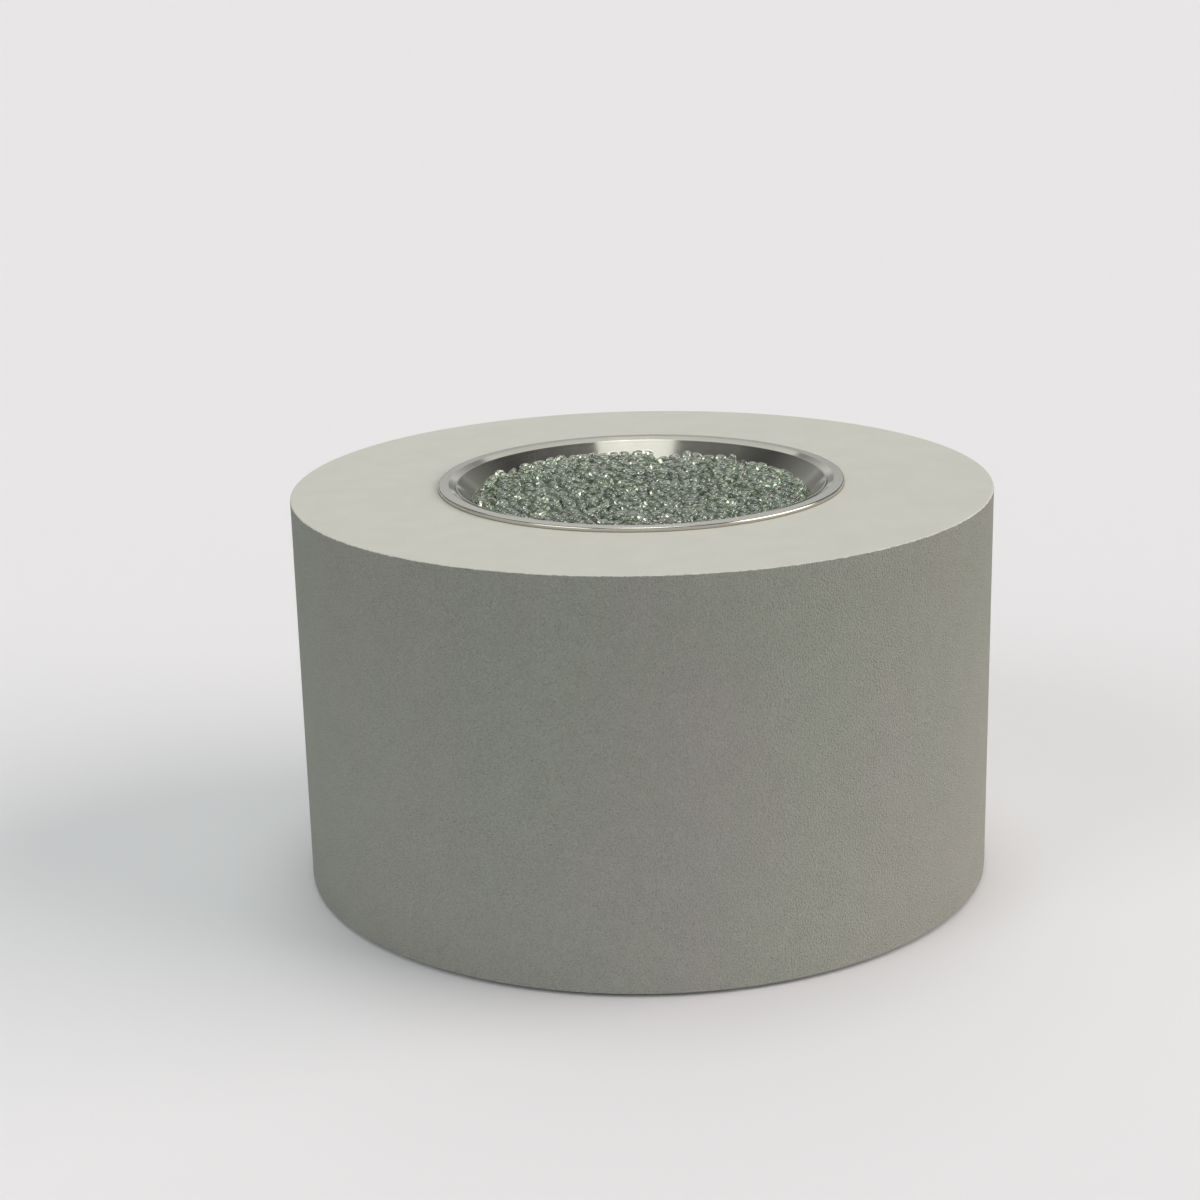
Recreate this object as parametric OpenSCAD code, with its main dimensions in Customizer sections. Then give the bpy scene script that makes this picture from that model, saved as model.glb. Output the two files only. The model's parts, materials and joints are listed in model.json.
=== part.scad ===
// Round gas fire pit table: a cast cylinder with a cast deck, a drop-in burner pan filled with
// glass beads, the gas train below the pan, and a hinged access door at the rear.
// The origin is on the floor at the table's centre, +Z is up and the front faces -Y.

/* [Table] */
// Outside diameter of the cast wall and deck
table_d = 1067; // [960:1:1180]
// Height of the deck's top face above the floor
table_h = 606; // [570:1:680]
// Thickness of the cast wall
wall_t = 16; // [12:1:22]
// Thickness of the cast deck
deck_t = 22; // [18:1:30]
// Radius of the deck's outer arris
arris_r = 2; // [1:0.5:4]
// Height of the shadow gap under the wall
foot_reveal = 6; // [4:1:9]

/* [Burner pan] */
// Outside diameter of the pan's raised rim
rim_d = 621; // [580:1:660]
// Height of the rim's top above the deck
rim_h = 6.5; // [5:0.5:10]
// Width of the rim's flat ring
rim_w = 16.5; // [12:0.5:24]
// Radius of the rim's outer shoulder
shoulder_r = 3; // [2:0.5:4]
// Width of the sloped band inside the flat ring
band_w = 9; // [6:0.5:14]
// Drop across the sloped band
band_drop = 4.5; // [3:0.5:6]
// Radius of the ridge where the band meets the dish
ridge_r = 1.8; // [1.5:0.1:2.5]
// Slope of the dish wall from the horizontal, in degrees
dish_slope = 42; // [36:1:50]
// Depth of the pan floor below the deck's top face
dish_depth = 70; // [64:1:84]
// Radius between the dish wall and the pan floor
dish_fillet = 24; // [12:1:36]
// Thickness of the spun steel
sheet_t = 1.2; // [0.8:0.1:1.4]
// Thickness of the gasket under the rim
gasket_t = 1; // [0.8:0.1:2]
// Diameter of the four drain holes in the pan floor
drain_d = 6; // [4:0.5:10]

/* [Glass beads] */
// Diameter of the largest bead
bead_d = 16; // [14:0.5:20]
// Depth of the bead tops below the deck at the edge of the bed
bead_top = 9; // [4:0.5:14]
// Rise of the bed from its edge to its middle
bed_rise = 4; // [0:0.5:6]
// Share by which the smallest bead is smaller
bead_spread = 0.12; // [0:0.01:0.2]

/* [Burner] */
// Diameter of the burner ring at the middle of its tube
ring_d = 280; // [240:1:320]
// Outside diameter of the ring tube
ring_tube_d = 16; // [14:0.5:18]
// Outside diameter of the cross tube
cross_tube_d = 13; // [10:0.5:13.5]
// Wall of the burner tubes
burner_wall = 1.4; // [1:0.1:2]
// Diameter of the burner hub
hub_d = 34; // [32:1:44]
// Diameter of a flame port
port_d = 3; // [2:0.1:4]
// Number of flame ports
port_count = 24; // [12:1:36]
// Height of the ring tube's middle above the pan floor
ring_lift = 24; // [20:0.5:26]

/* [Gas train] */
// Outside diameter of the inlet nipple
nipple_d = 21.3; // [18:0.1:24]
// Bore of the inlet nipple and elbow
nipple_bore = 15; // [10:0.5:16]
// Bend radius of the inlet elbow
elbow_bend = 18; // [16:1:24]
// Length of the air mixer
mixer_l = 62; // [50:1:80]
// Outside diameter of the air mixer
mixer_d = 25; // [22:0.5:30]
// Outside diameter of the gas tube
tube_d = 12; // [10:0.5:13]
// Bend radius of the gas tube
tube_bend = 40; // [30:1:60]
// Diameter of the valve body
valve_d = 36; // [32:1:42]
// Length of the valve body
valve_l = 38; // [32:1:50]
// Outside diameter of the gas inlet's flare fitting
inlet_d = 15.8; // [12:0.1:17]
// Length of the gas inlet's flare fitting
inlet_l = 16; // [12:0.5:22]

/* [Controls] */
// Direction of the control plate, in degrees from the rear
control_phi = 52; // [44:1:56]
// Width of the control plate
plate_w = 112; // [104:1:120]
// Height of the control plate
plate_h = 84; // [72:1:96]
// Thickness of the control plate
plate_t = 1.5; // [1:0.1:2.5]
// Diameter of the control knob
knob_d = 42; // [36:1:46]
// Height of the control knob
knob_h = 26; // [20:1:32]
// Diameter of the valve stem
stem_d = 8; // [6:0.5:10]
// Distance between the knob and the igniter button
control_pitch = 50; // [46:1:54]
// Diameter of the igniter's threaded barrel
igniter_d = 22; // [20:0.5:24]
// Diameter of the igniter button
button_d = 14; // [12:0.5:15]
// Height that the button stands out of its bezel
button_out = 6; // [5:0.5:9]
// Travel of the button
button_travel = 4; // [2:0.5:4.5]
// Diameter of the ignition lead
lead_d = 5; // [4:0.5:6]
// Bend radius of the ignition lead
lead_bend = 30; // [22:1:36]

/* [Heat shield] */
// Diameter of the heat shield
shield_d = 420; // [340:1:460]
// Distance from the pan to the heat shield
shield_gap = 22; // [18:1:30]
// Thickness of the heat shield
shield_t = 1; // [0.8:0.1:2]

/* [Access door] */
// Width of the door opening
door_w = 364; // [340:1:390]
// Height of the sill under the door
door_sill = 56; // [55:1:70]
// Height of the wall over the door
door_head = 54; // [44:1:80]
// Corner radius of the door opening
door_corner = 8; // [5:0.5:20]
// Gap around the door
door_gap = 3; // [2.6:0.1:4]
// Diameter of the hinge barrel
barrel_d = 8; // [7:0.5:10]
// Diameter of the hinge pin
hinge_pin_d = 4; // [3:0.1:4.5]
// Length of each hinge
hinge_l = 80; // [60:1:110]
// Distance from the ends of the door to its hinges
hinge_inset = 55; // [40:1:90]
// Diameter of the door pull
pull_d = 26; // [18:1:30]
// Height that the door pull stands out
pull_out = 18; // [14:1:20]
// Distance of the door pull from the door's free edge
pull_inset = 32; // [28:1:50]

/* [Vents] */
// Direction of the vents, in degrees from the rear
vent_phi = 76; // [72:1:80]
// Width of a vent grille
vent_w = 116; // [100:1:130]
// Height of a vent grille
vent_h = 72; // [64:1:90]
// Height of a grille's middle above the floor
vent_z = 110; // [100:1:160]
// Thickness of a grille
vent_t = 1.5; // [1:0.1:2.5]
// Width of a slot in the grille
slot_w = 7; // [5:0.5:9]
// Number of slots in a grille
slot_count = 7; // [5:1:8]

/* [Base] */
// Width of the base ring's flat flange
ring_flange = 52; // [48:1:60]
// Height of the base ring's upright flange
ring_upright = 40; // [36:1:42]
// Thickness of the base ring and rails
frame_t = 6; // [4:0.5:7]
// Height of the base ring above the floor
frame_z = 12; // [10.5:0.5:13]
// Distance of the tank's middle behind the table's middle
tank_y = 240; // [220:1:250]
// Distance between the two rails
rail_pitch = 200; // [180:1:210]
// Width of a rail
rail_w = 50; // [36:1:60]
// Diameter of the tank tray
tray_d = 330; // [300:1:350]
// Height of the tank tray's rim
tray_rim = 15; // [8:1:16]
// Diameter of a foot pad
foot_d = 40; // [30:1:44]
// Thickness of a foot pad
foot_h = 8; // [5:0.5:9]
// Diameter of a foot stud
stud_d = 10; // [8:0.5:12]
// Length of a foot stud above its pad
stud_l = 50; // [42:1:60]

/* [Hidden] */

// Colours as the photograph and such products show them
cast_wall = [0.53, 0.54, 0.5];
cast_top = [0.78, 0.78, 0.74];
steel = [0.72, 0.71, 0.68];
dark_steel = [0.25, 0.25, 0.26];
zinc = [0.62, 0.63, 0.64];
brass = [0.78, 0.62, 0.32];
rubber = [0.1, 0.1, 0.1];
glass = [0.62, 0.68, 0.6];
ceramic = [0.93, 0.92, 0.88];

// Shared clearances
over = 1;
seat = 0.3;
running = 0.05;
thread_fit = 0.1;
bend_steps = 8;
tube_sides = 12;
$fn = 64;

// Table
wall_r = table_d / 2;
wall_in = wall_r - wall_t;
wall_top = table_h - deck_t;
deck_hole = rim_d / 2 - rim_w - 4;
rib_w = 8;
rib_h = 10;

// Pan profile, from the rim's outer edge inwards along the upper face
rim_r = rim_d / 2;
rim_top = table_h + rim_h;
floor_z = table_h - dish_depth;
ridge_rise = 35;
ridge_run = 2;
band_in = rim_r - rim_w - band_w;
band_z = rim_top - band_drop;
ridge_x = band_in - ridge_run * cos(ridge_rise) - ridge_r * sin(ridge_rise);
ridge_z = band_z + ridge_run * sin(ridge_rise) - ridge_r * cos(ridge_rise);
lip_x = ridge_x - ridge_r * sin(dish_slope);
lip_z = ridge_z + ridge_r * cos(dish_slope);
dish_run = (lip_z - floor_z - dish_fillet * (1 - cos(dish_slope))) / sin(dish_slope);
fillet_x = lip_x - dish_run * cos(dish_slope) - dish_fillet * sin(dish_slope);
fillet_z = floor_z + dish_fillet;
pan_under = floor_z - sheet_t;
function arc(x, z, r, from, to, steps = 8) =
    [for (i = [0:steps]) [x + r * cos(from + (to - from) * i / steps),
                          z + r * sin(from + (to - from) * i / steps)]];
function dish_r(z) = lip_x - (lip_z - z) / tan(dish_slope);
function unit(v) = v / norm(v);
function left(v) = [-v[1], v[0]];
// Each point of a path moved to the left of its direction by t, with mitred corners
function beside(path, t) =
    [for (i = [0:len(path) - 1])
        let (last = len(path) - 1,
             a = left(unit(path[max(i, 1)] - path[max(i, 1) - 1])),
             b = left(unit(path[min(i, last - 1) + 1] - path[min(i, last - 1)])))
        path[i] + t * (a + b) / (1 + a * b)];
function reversed(path) = [for (i = [len(path) - 1:-1:0]) path[i]];

// Bead bed and beads
bead_rest = 0.2;
bead_edge_z = table_h - bead_top - bead_d / 2;
bed_edge_z = bead_edge_z - bead_d / 2 - bead_rest;
bed_edge_r = dish_r(bed_edge_z) - seat / sin(dish_slope);
bead_ring_max = dish_r(bead_edge_z) - (bead_d / 2 + seat) / sin(dish_slope);
// A golden-angle spiral keeps its points at least 1.6 steps apart
golden = 137.50776;
spiral_spread = 1.6;
bead_step = (bead_d + seat) / spiral_spread;
bead_count = floor(pow(bead_ring_max / bead_step, 2)) - 1;
function bed_z(r) = bed_edge_z + bed_rise * (1 - r / bed_edge_r);
function bead_radius(i) = bead_d / 2 * (1 - bead_spread * (0.5 + 0.5 * sin(i * 97)));

// Burner and gas train, along the control plate's own direction
ring_r = ring_d / 2;
ring_z = floor_z + ring_lift;
hub_top = ring_z + ring_tube_d / 2 + 4;
nipple_top = ring_z - cross_tube_d / 2;
locknut_h = 8;
locknut_z = pan_under - locknut_h;
elbow_collar = 16;
elbow_wall = 4;
elbow_r = nipple_d / 2 + elbow_wall;
elbow_top = locknut_z - seat;
tube_z = elbow_top - elbow_collar - elbow_bend;
nipple_bottom = elbow_top - elbow_collar + 3;
mixer_y = elbow_bend + elbow_collar;
mixer_thread = 12;
mixer_end = mixer_y + mixer_l;
orifice_l = 12;
orifice_end = mixer_end + orifice_l;
nut_l = 14;
nut_flats = tube_d + 7;
tube_bore = tube_d - 3;

// Control plate: a flat pad on the cast wall carries the plate, the knob and the igniter
pad_margin = 2;
pad_w = plate_w + 2 * pad_margin;
pad_h = plate_h + 2 * pad_margin;
pad_y = sqrt(pow(wall_r, 2) - pow(pad_w / 2, 2));
plate_face = pad_y + plate_t;
knob_x = -control_pitch / 2;
igniter_x = control_pitch / 2;
neck_d = stem_d + 8;
valve_seat = sqrt(pow(wall_in, 2) - pow(control_pitch / 2 + valve_d / 2, 2)) - seat;
valve_back = valve_seat - valve_l;
valve_tail = 16;
outlet_y = valve_back - valve_tail;
valve_nut_h = 4;
neck_end = plate_face + valve_nut_h + 1;
knob_base = neck_end + over;
stem_back = valve_seat - 20;
inlet_shank = 20;
inlet_z = tube_z - valve_d / 2 - inlet_shank;
inlet_y = valve_seat - valve_l / 2;
bezel_d = igniter_d + 7;
bezel_h = 3;
igniter_back = valve_seat - 42;
terminal_l = 12;
terminal_d = lead_d + 1;
igniter_nut_h = 6;
collar_d = button_d + 2;
collar_h = 3;
button_foot = plate_face + bezel_h - 10;
lead_x = tube_d / 2 + lead_d / 2 + 1.5;
lead_rise_y = ring_r - ring_tube_d / 2 - 12;
lead_up_bend = 20;
clip_t = 6;
clip_places = [0.35, 0.7];
electrode_d = 8;
electrode_flange_d = 13;
electrode_flange_h = 3;
electrode_top = ring_z;
electrode_foot = pan_under - 8;
screw_d = 3.2;
screw_head_d = 7;
screw_head_h = 2.2;
screw_l = 11;
screw_inset = 7;

// Heat shield
shield_z = pan_under - shield_gap - shield_t;
post_d = 10;
post_stud_d = 6;
post_ring = ring_r + 12;
shield_nut_h = 5;

// Door: the hinge axis stands just outside the wall, in the middle of the door's gap
door_z0 = door_sill;
door_z1 = wall_top - door_head;
door_mid = (door_z0 + door_z1) / 2;
hinge_x = door_w / 2 - door_gap / 2;
hinge_off = barrel_d / 2 + 0.6;
hinge_y = sqrt(pow(wall_r + hinge_off, 2) - pow(hinge_x, 2));
leaf_t = (door_gap - 0.5) / 2;
leaf_depth = wall_t - 2;
leaf_y = sqrt(pow(wall_r, 2) - pow(door_w / 2, 2)) - leaf_depth;
knuckle_gap = 0.4;
hinge_places = [door_z0 + hinge_inset, door_z1 - hinge_inset - hinge_l];
hinge_screw_d = 3;
hinge_screw_head = 5.6;
hinge_screw_head_h = 0.8;
hinge_screw_l = 16;
pull_phi = asin((door_w / 2 - door_gap - pull_inset) / wall_r);
pull_stud_d = 5;
pull_neck_d = 12;
pull_nut_h = 4;
catch_phi = -asin(door_w / 2 / wall_in);
catch_h = 50;
catch_base = 21;
catch_reach = 18;
catch_t = 10;
strike_t = 1.5;

// Vents
vent_opening_w = vent_w - 20;
vent_opening_h = vent_h - 20;
vent_seat = 0.1;

// Base
ring_out = wall_in - seat;
ring_in = ring_out - ring_flange;
frame_top = frame_z + frame_t;
foot_ring = (ring_in + ring_out) / 2;
foot_phis = [45, 135, 225, 315];
weld_nut_h = 8;
bolt_d = 8;
bolt_head_h = 5;
bolt_sink = 9;
bolt_z = frame_z + ring_upright / 2;
bolt_phis = [30, 90, 150, 210, 270, 330];
tray_t = 1.5;
tray_screw_x = 60;
tray_screw_d = 6;
tray_screw_head_d = 10;
tray_screw_head_h = 3;

// Turns local +Y to a direction phi degrees from the rear, towards +X
module at(phi) { rotate([0, 0, -phi]) children(); }

// A rod along +Y
module rod_y(d, y0, y1) {
    translate([0, y0, 0])
        rotate([-90, 0, 0])
            cylinder(h = y1 - y0, d = d);
}

// A six-sided prism along +Z, measured across its flats
module hex(flats, h) { cylinder(h = h, d = flats / cos(30), $fn = 6); }

// The same along +Y
module hex_y(flats, y0, y1) {
    translate([0, y0, 0])
        rotate([-90, 0, 0])
            hex(flats, y1 - y0);
}

// A rectangle with round corners
module rounded(w, h, r) {
    square([w - 2 * r, h], center = true);
    square([w, h - 2 * r], center = true);
    for (x = [-1, 1], z = [-1, 1])
        translate([x * (w / 2 - r), z * (h / 2 - r)])
            circle(r = r);
}

// A rounded rectangle in X and Z, from y0 to y1
module window(w, h, r, y0, y1) {
    translate([0, y1, 0])
        rotate([90, 0, 0])
            linear_extrude(y1 - y0)
                rounded(w, h, r);
}

// A ring about Z
module ring(r_in, r_out, z0, z1) {
    rotate_extrude($fn = 180)
        translate([r_in, z0])
            square([r_out - r_in, z1 - z0]);
}

// Points of two equal bends that shift a line sideways, from the origin along -Y
function swan_angle(r, shift) = acos(1 - abs(shift) / (2 * r));
function swan_run(r, shift) = 2 * r * sin(swan_angle(r, shift));
function swan_points(r, shift) =
    let (angle = swan_angle(r, shift), side = sign(shift), run = swan_run(r, shift))
    concat(
        [for (i = [0:bend_steps])
            let (a = angle * i / bend_steps)
            [side * r * (1 - cos(a)), -r * sin(a), 0]],
        [for (i = [1:bend_steps])
            let (a = angle * (1 - i / bend_steps))
            [shift - side * r * (1 - cos(a)), r * sin(a) - run, 0]]);

// A round tube along a path whose direction is never along X
function heading(path, i) = unit(path[min(i + 1, len(path) - 1)] - path[max(i - 1, 0)]);
module swept_tube(path, d) {
    points = [for (i = [0:len(path) - 1])
        let (t = heading(path, i), u = unit(cross(t, [1, 0, 0])), w = cross(t, u))
        for (k = [0:tube_sides - 1])
            path[i] + d / 2 * (u * cos(360 * k / tube_sides) + w * sin(360 * k / tube_sides))];
    sides = [for (i = [0:len(path) - 2], k = [0:tube_sides - 1])
        let (a = i * tube_sides + k, b = i * tube_sides + (k + 1) % tube_sides)
        each [[a, b + tube_sides, b], [a, a + tube_sides, b + tube_sides]]];
    first = [for (k = [0:tube_sides - 1]) k];
    last = [for (k = [tube_sides - 1:-1:0]) (len(path) - 1) * tube_sides + k];
    polyhedron(points, concat(sides, [first, last]));
}

module screw_hole_y(y) {
    rod_y(screw_d + 2 * thread_fit, y - screw_l - seat, y + over);
}

// A pan-head screw along -Y, its head's underside at y
module pan_screw_y(y) {
    rod_y(screw_d, y - screw_l, y + screw_head_h / 2);
    translate([0, y, 0])
        rotate([-90, 0, 0])
            cylinder(h = screw_head_h, d1 = screw_head_d, d2 = screw_head_d - 1.6);
}

module plate_corners() {
    for (x = [-1, 1], z = [-1, 1])
        translate([x * (plate_w / 2 - screw_inset), 0, tube_z + z * (plate_h / 2 - screw_inset)])
            children();
}

module vent_corners() {
    for (x = [-1, 1], z = [-1, 1])
        at(x * asin((vent_w / 2 - screw_inset) / wall_r))
            translate([0, 0, vent_z + z * (vent_h / 2 - screw_inset)])
                children();
}

// Cast pieces

module door_window(gap, y0, y1) {
    translate([0, 0, door_mid])
        window(door_w - 2 * gap, door_z1 - door_z0 - 2 * gap, door_corner - gap / 2, y0, y1);
}

module body_wall() {
    color(cast_wall)
        difference() {
            ring(wall_in, wall_r, foot_reveal, wall_top);
            door_window(0, wall_in / 2, wall_r + over);
            hinge_screw_places(1)
                rod_y(hinge_screw_d + 2 * thread_fit, -over, hinge_screw_l + over);
            at(control_phi) {
                translate([0, 0, tube_z])
                    window(pad_w, pad_h, 2, pad_y, wall_r + over);
                translate([knob_x, 0, tube_z])
                    rod_y(neck_d + 1, wall_in / 2, wall_r + over);
                translate([igniter_x, 0, tube_z])
                    rod_y(igniter_d + 1, wall_in / 2, wall_r + over);
                plate_corners()
                    screw_hole_y(plate_face);
            }
            for (side = [-1, 1])
                at(side * vent_phi) {
                    translate([0, 0, vent_z])
                        window(vent_opening_w, vent_opening_h, 6, wall_in / 2, wall_r + over);
                    vent_corners()
                        screw_hole_y(wall_r + vent_t);
                }
            for (phi = bolt_phis)
                at(phi)
                    translate([0, 0, bolt_z])
                        rod_y(bolt_d + 2 * thread_fit, wall_in - over, wall_in + bolt_sink + seat);
        }
}

module top_deck() {
    rib_out = wall_in - seat;
    color(cast_top)
        rotate_extrude($fn = 180)
            polygon(concat(
                [[deck_hole, table_h], [deck_hole, wall_top],
                 [rib_out - rib_w, wall_top], [rib_out - rib_w, wall_top - rib_h],
                 [rib_out, wall_top - rib_h], [rib_out, wall_top], [wall_r, wall_top]],
                arc(wall_r - arris_r, table_h - arris_r, arris_r, 0, 90)));
}

module access_door() {
    color(cast_wall)
        difference() {
            intersection() {
                ring(wall_in, wall_r, door_z0, door_z1);
                door_window(door_gap, wall_in / 2, wall_r + over);
            }
            hinge_screw_places(-1)
                rod_y(hinge_screw_d + 2 * thread_fit, -over, hinge_screw_l + over);
            at(-pull_phi)
                translate([0, 0, door_mid])
                    rod_y(pull_stud_d + 2 * thread_fit, wall_in / 2, wall_r + over);
        }
}

// Burner pan and its filling

pan_face = concat(
    [[rim_r, table_h + gasket_t]],
    arc(rim_r - shoulder_r, rim_top - shoulder_r, shoulder_r, 0, 90),
    [[rim_r - rim_w, rim_top], [band_in, band_z]],
    arc(ridge_x, ridge_z, ridge_r, 90 - ridge_rise, 90 + dish_slope),
    arc(fillet_x, fillet_z, dish_fillet, 270 + dish_slope, 270),
    [[nipple_d / 2 + thread_fit, floor_z]]);

module pan_gasket() {
    gasket_in = rim_r - 8;
    color(rubber)
        ring(gasket_in, rim_r + 0.4, table_h, table_h + gasket_t);
}

module burner_pan() {
    color(steel)
        difference() {
            rotate_extrude($fn = 180)
                polygon(concat(pan_face, reversed(beside(pan_face, sheet_t))));
            for (phi = [45:90:315])
                at(phi)
                    translate([0, fillet_x - drain_d, pan_under - over])
                        cylinder(h = sheet_t + 2 * over, d = drain_d);
            at(control_phi)
                translate([lead_x, lead_rise_y, pan_under - over])
                    cylinder(h = sheet_t + 2 * over, d = electrode_d + 2 * thread_fit);
        }
}

// The bed is a cap over the burner, so that its underside clears the ring, hub and electrode
module glass_bed() {
    hollow_r = ring_r + ring_tube_d / 2 + seat;
    hollow_z = hub_top + seat;
    color(glass)
        rotate_extrude($fn = 180)
            polygon(concat(
                [[0, hollow_z], [hollow_r, hollow_z], [hollow_r, floor_z + seat]],
                arc(fillet_x, fillet_z, dish_fillet - seat, 270, 270 + dish_slope),
                [[bed_edge_r, bed_edge_z], [0, bed_z(0)]]));
}

module glass_beads() {
    color(glass)
        for (i = [0:bead_count - 1])
            let (r = bead_step * sqrt(i + 1), size = bead_radius(i))
                rotate([0, 0, i * golden])
                    translate([r, 0, bed_z(r) + size + bead_rest])
                        sphere(r = size, $fn = 24);
}

// Burner and gas train

// The burner's outer shape, with its hub standing on the pan floor
module burner_shape() {
    translate([0, 0, ring_z])
        rotate_extrude($fn = 120)
            translate([ring_r, 0])
                circle(d = ring_tube_d);
    for (turn = [45, 135])
        at(turn)
            translate([0, 0, ring_z])
                rod_y(cross_tube_d, -ring_r, ring_r);
    translate([0, 0, floor_z])
        cylinder(h = hub_top - floor_z, d = hub_d);
}

module burner_ring() {
    color(steel)
        difference() {
            burner_shape();
            translate([0, 0, ring_z])
                rotate_extrude($fn = 120)
                    translate([ring_r, 0])
                        circle(d = ring_tube_d - 2 * burner_wall);
            for (turn = [45, 135])
                at(turn)
                    translate([0, 0, ring_z])
                        rod_y(cross_tube_d - 2 * burner_wall, -ring_r, ring_r);
            translate([0, 0, floor_z - over])
                cylinder(h = nipple_top - floor_z + over, d = nipple_d + 2 * thread_fit);
            translate([0, 0, nipple_top - over])
                cylinder(h = ring_z - nipple_top + over, d = nipple_bore);
            for (i = [0:port_count - 1])
                at(360 * (i + 0.5) / port_count)
                    translate([0, ring_r, ring_z])
                        cylinder(h = ring_tube_d, d = port_d);
        }
}

module inlet_nipple() {
    color(zinc)
        difference() {
            translate([0, 0, nipple_bottom])
                cylinder(h = nipple_top - nipple_bottom - seat, d = nipple_d);
            translate([0, 0, nipple_bottom - over])
                cylinder(h = nipple_top - nipple_bottom + 2 * over, d = nipple_bore);
        }
}

module nipple_locknut() {
    color(zinc)
        translate([0, 0, locknut_z])
            difference() {
                hex(nipple_d + 12, locknut_h);
                translate([0, 0, -over])
                    cylinder(h = locknut_h + 2 * over, d = nipple_d + 2 * thread_fit);
            }
}

module inlet_elbow() {
    bend_z = elbow_top - elbow_collar;
    color(zinc)
        at(control_phi)
            difference() {
                union() {
                    translate([0, 0, bend_z])
                        cylinder(h = elbow_collar, r = elbow_r);
                    elbow_bend_at(bend_z, 2 * elbow_r - 5);
                    translate([0, 0, tube_z])
                        rod_y(2 * elbow_r, elbow_bend, mixer_y);
                }
                translate([0, 0, nipple_bottom])
                    cylinder(h = elbow_top - nipple_bottom + over, d = nipple_d + 2 * thread_fit);
                translate([0, 0, bend_z - 0.01])
                    cylinder(h = elbow_collar, d = nipple_bore);
                elbow_bend_at(bend_z, nipple_bore);
                translate([0, 0, tube_z])
                    rod_y(nipple_bore, elbow_bend - 0.01, mixer_y);
                translate([0, 0, tube_z])
                    rod_y(nipple_d + 2 * thread_fit, mixer_y - mixer_thread, mixer_y + over);
            }
}

// The elbow's quarter bend, from straight down to straight along +Y
module elbow_bend_at(z, d) {
    translate([0, 0, z])
        rotate([0, 90, 0])
            rotate([0, 0, 90])
                translate([elbow_bend, 0, 0])
                    rotate([0, 0, 90])
                        mirror([1, 0, 0])
                            rotate_extrude(angle = 90)
                                translate([elbow_bend, 0])
                                    circle(d = d);
}

module air_mixer() {
    mixer_bore = nipple_bore - 1;
    color(brass)
        at(control_phi)
            translate([0, 0, tube_z])
                difference() {
                    union() {
                        rod_y(nipple_d, mixer_y - mixer_thread + seat, mixer_y + over);
                        hex_y(mixer_d, mixer_y + seat, mixer_y + 14);
                        rod_y(mixer_d - 2, mixer_y + 12, mixer_end);
                    }
                    rod_y(mixer_bore, mixer_y - mixer_thread - over, mixer_end - 10);
                    rod_y(tube_d + 2 * thread_fit, mixer_end - 11, mixer_end + over);
                    for (turn = [0, 90])
                        rotate([0, turn, 0])
                            translate([0, mixer_y + mixer_l / 2 + 4, -mixer_d])
                                cylinder(h = 2 * mixer_d, d = 8);
                }
}

module gas_orifice() {
    jet_d = 2;
    color(brass)
        at(control_phi)
            translate([0, 0, tube_z])
                difference() {
                    union() {
                        rod_y(tube_d, mixer_end - 9, mixer_end + over);
                        hex_y(tube_d + 5, mixer_end + seat, orifice_end);
                    }
                    rod_y(jet_d, mixer_end - 10, orifice_end + over);
                    rod_y(tube_bore - 2, mixer_end, orifice_end + over);
                }
}

// The tube's middle line: straight out of the valve, a swan bend, then straight to the orifice
tube_in = orifice_end + seat;
tube_out = outlet_y - seat;
swan_y = tube_out - nut_l - 18;
swan_in = swan_y - swan_run(tube_bend, -knob_x);
function tube_path(extra) = concat(
    [[knob_x, tube_out + extra, 0]],
    [for (p = swan_points(tube_bend, -knob_x)) p + [knob_x, swan_y, 0]],
    [[0, tube_in - extra, 0]]);

module gas_tube() {
    color("silver")
        at(control_phi)
            translate([0, 0, tube_z])
                difference() {
                    swept_tube(tube_path(0), tube_d);
                    swept_tube(tube_path(over), tube_bore);
                }
}

module tube_nuts() {
    color(brass)
        at(control_phi)
            translate([0, 0, tube_z])
                for (place = [[0, tube_in], [knob_x, tube_out - nut_l]])
                    translate([place[0], place[1], 0])
                        difference() {
                            hex_y(nut_flats, 0, nut_l);
                            rod_y(tube_d + 2 * running, -over, nut_l + over);
                        }
}

module valve_body() {
    color(brass)
        at(control_phi)
            translate([knob_x, 0, tube_z])
                difference() {
                    union() {
                        rod_y(valve_d, valve_back, valve_seat);
                        rod_y(neck_d, valve_seat - over, neck_end);
                        rod_y(tube_d + 5, outlet_y, valve_back + over);
                        translate([0, inlet_y, inlet_z - tube_z]) {
                            cylinder(h = inlet_shank + valve_d / 2, d = inlet_d + 4);
                            translate([0, 0, -inlet_l])
                                cylinder(h = inlet_l + over, d = inlet_d);
                        }
                    }
                    rod_y(stem_d + 2 * running, stem_back - seat, neck_end + over);
                    rod_y(tube_bore, outlet_y - over, valve_back + 6);
                    translate([0, inlet_y, inlet_z - tube_z - inlet_l - over])
                        cylinder(h = inlet_l + inlet_shank, d = inlet_d - 6);
                }
}

module valve_nut() {
    color(zinc)
        at(control_phi)
            translate([knob_x, 0, tube_z])
                difference() {
                    hex_y(neck_d + 9, plate_face, plate_face + valve_nut_h);
                    rod_y(neck_d + 2 * running, plate_face - over, plate_face + valve_nut_h + over);
                }
}

knob_wall = 4;
stem_end = knob_base + knob_h - knob_wall;
module valve_stem() {
    color(zinc)
        at(control_phi)
            translate([knob_x, 0, tube_z])
                rod_y(stem_d, stem_back, stem_end);
}

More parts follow.
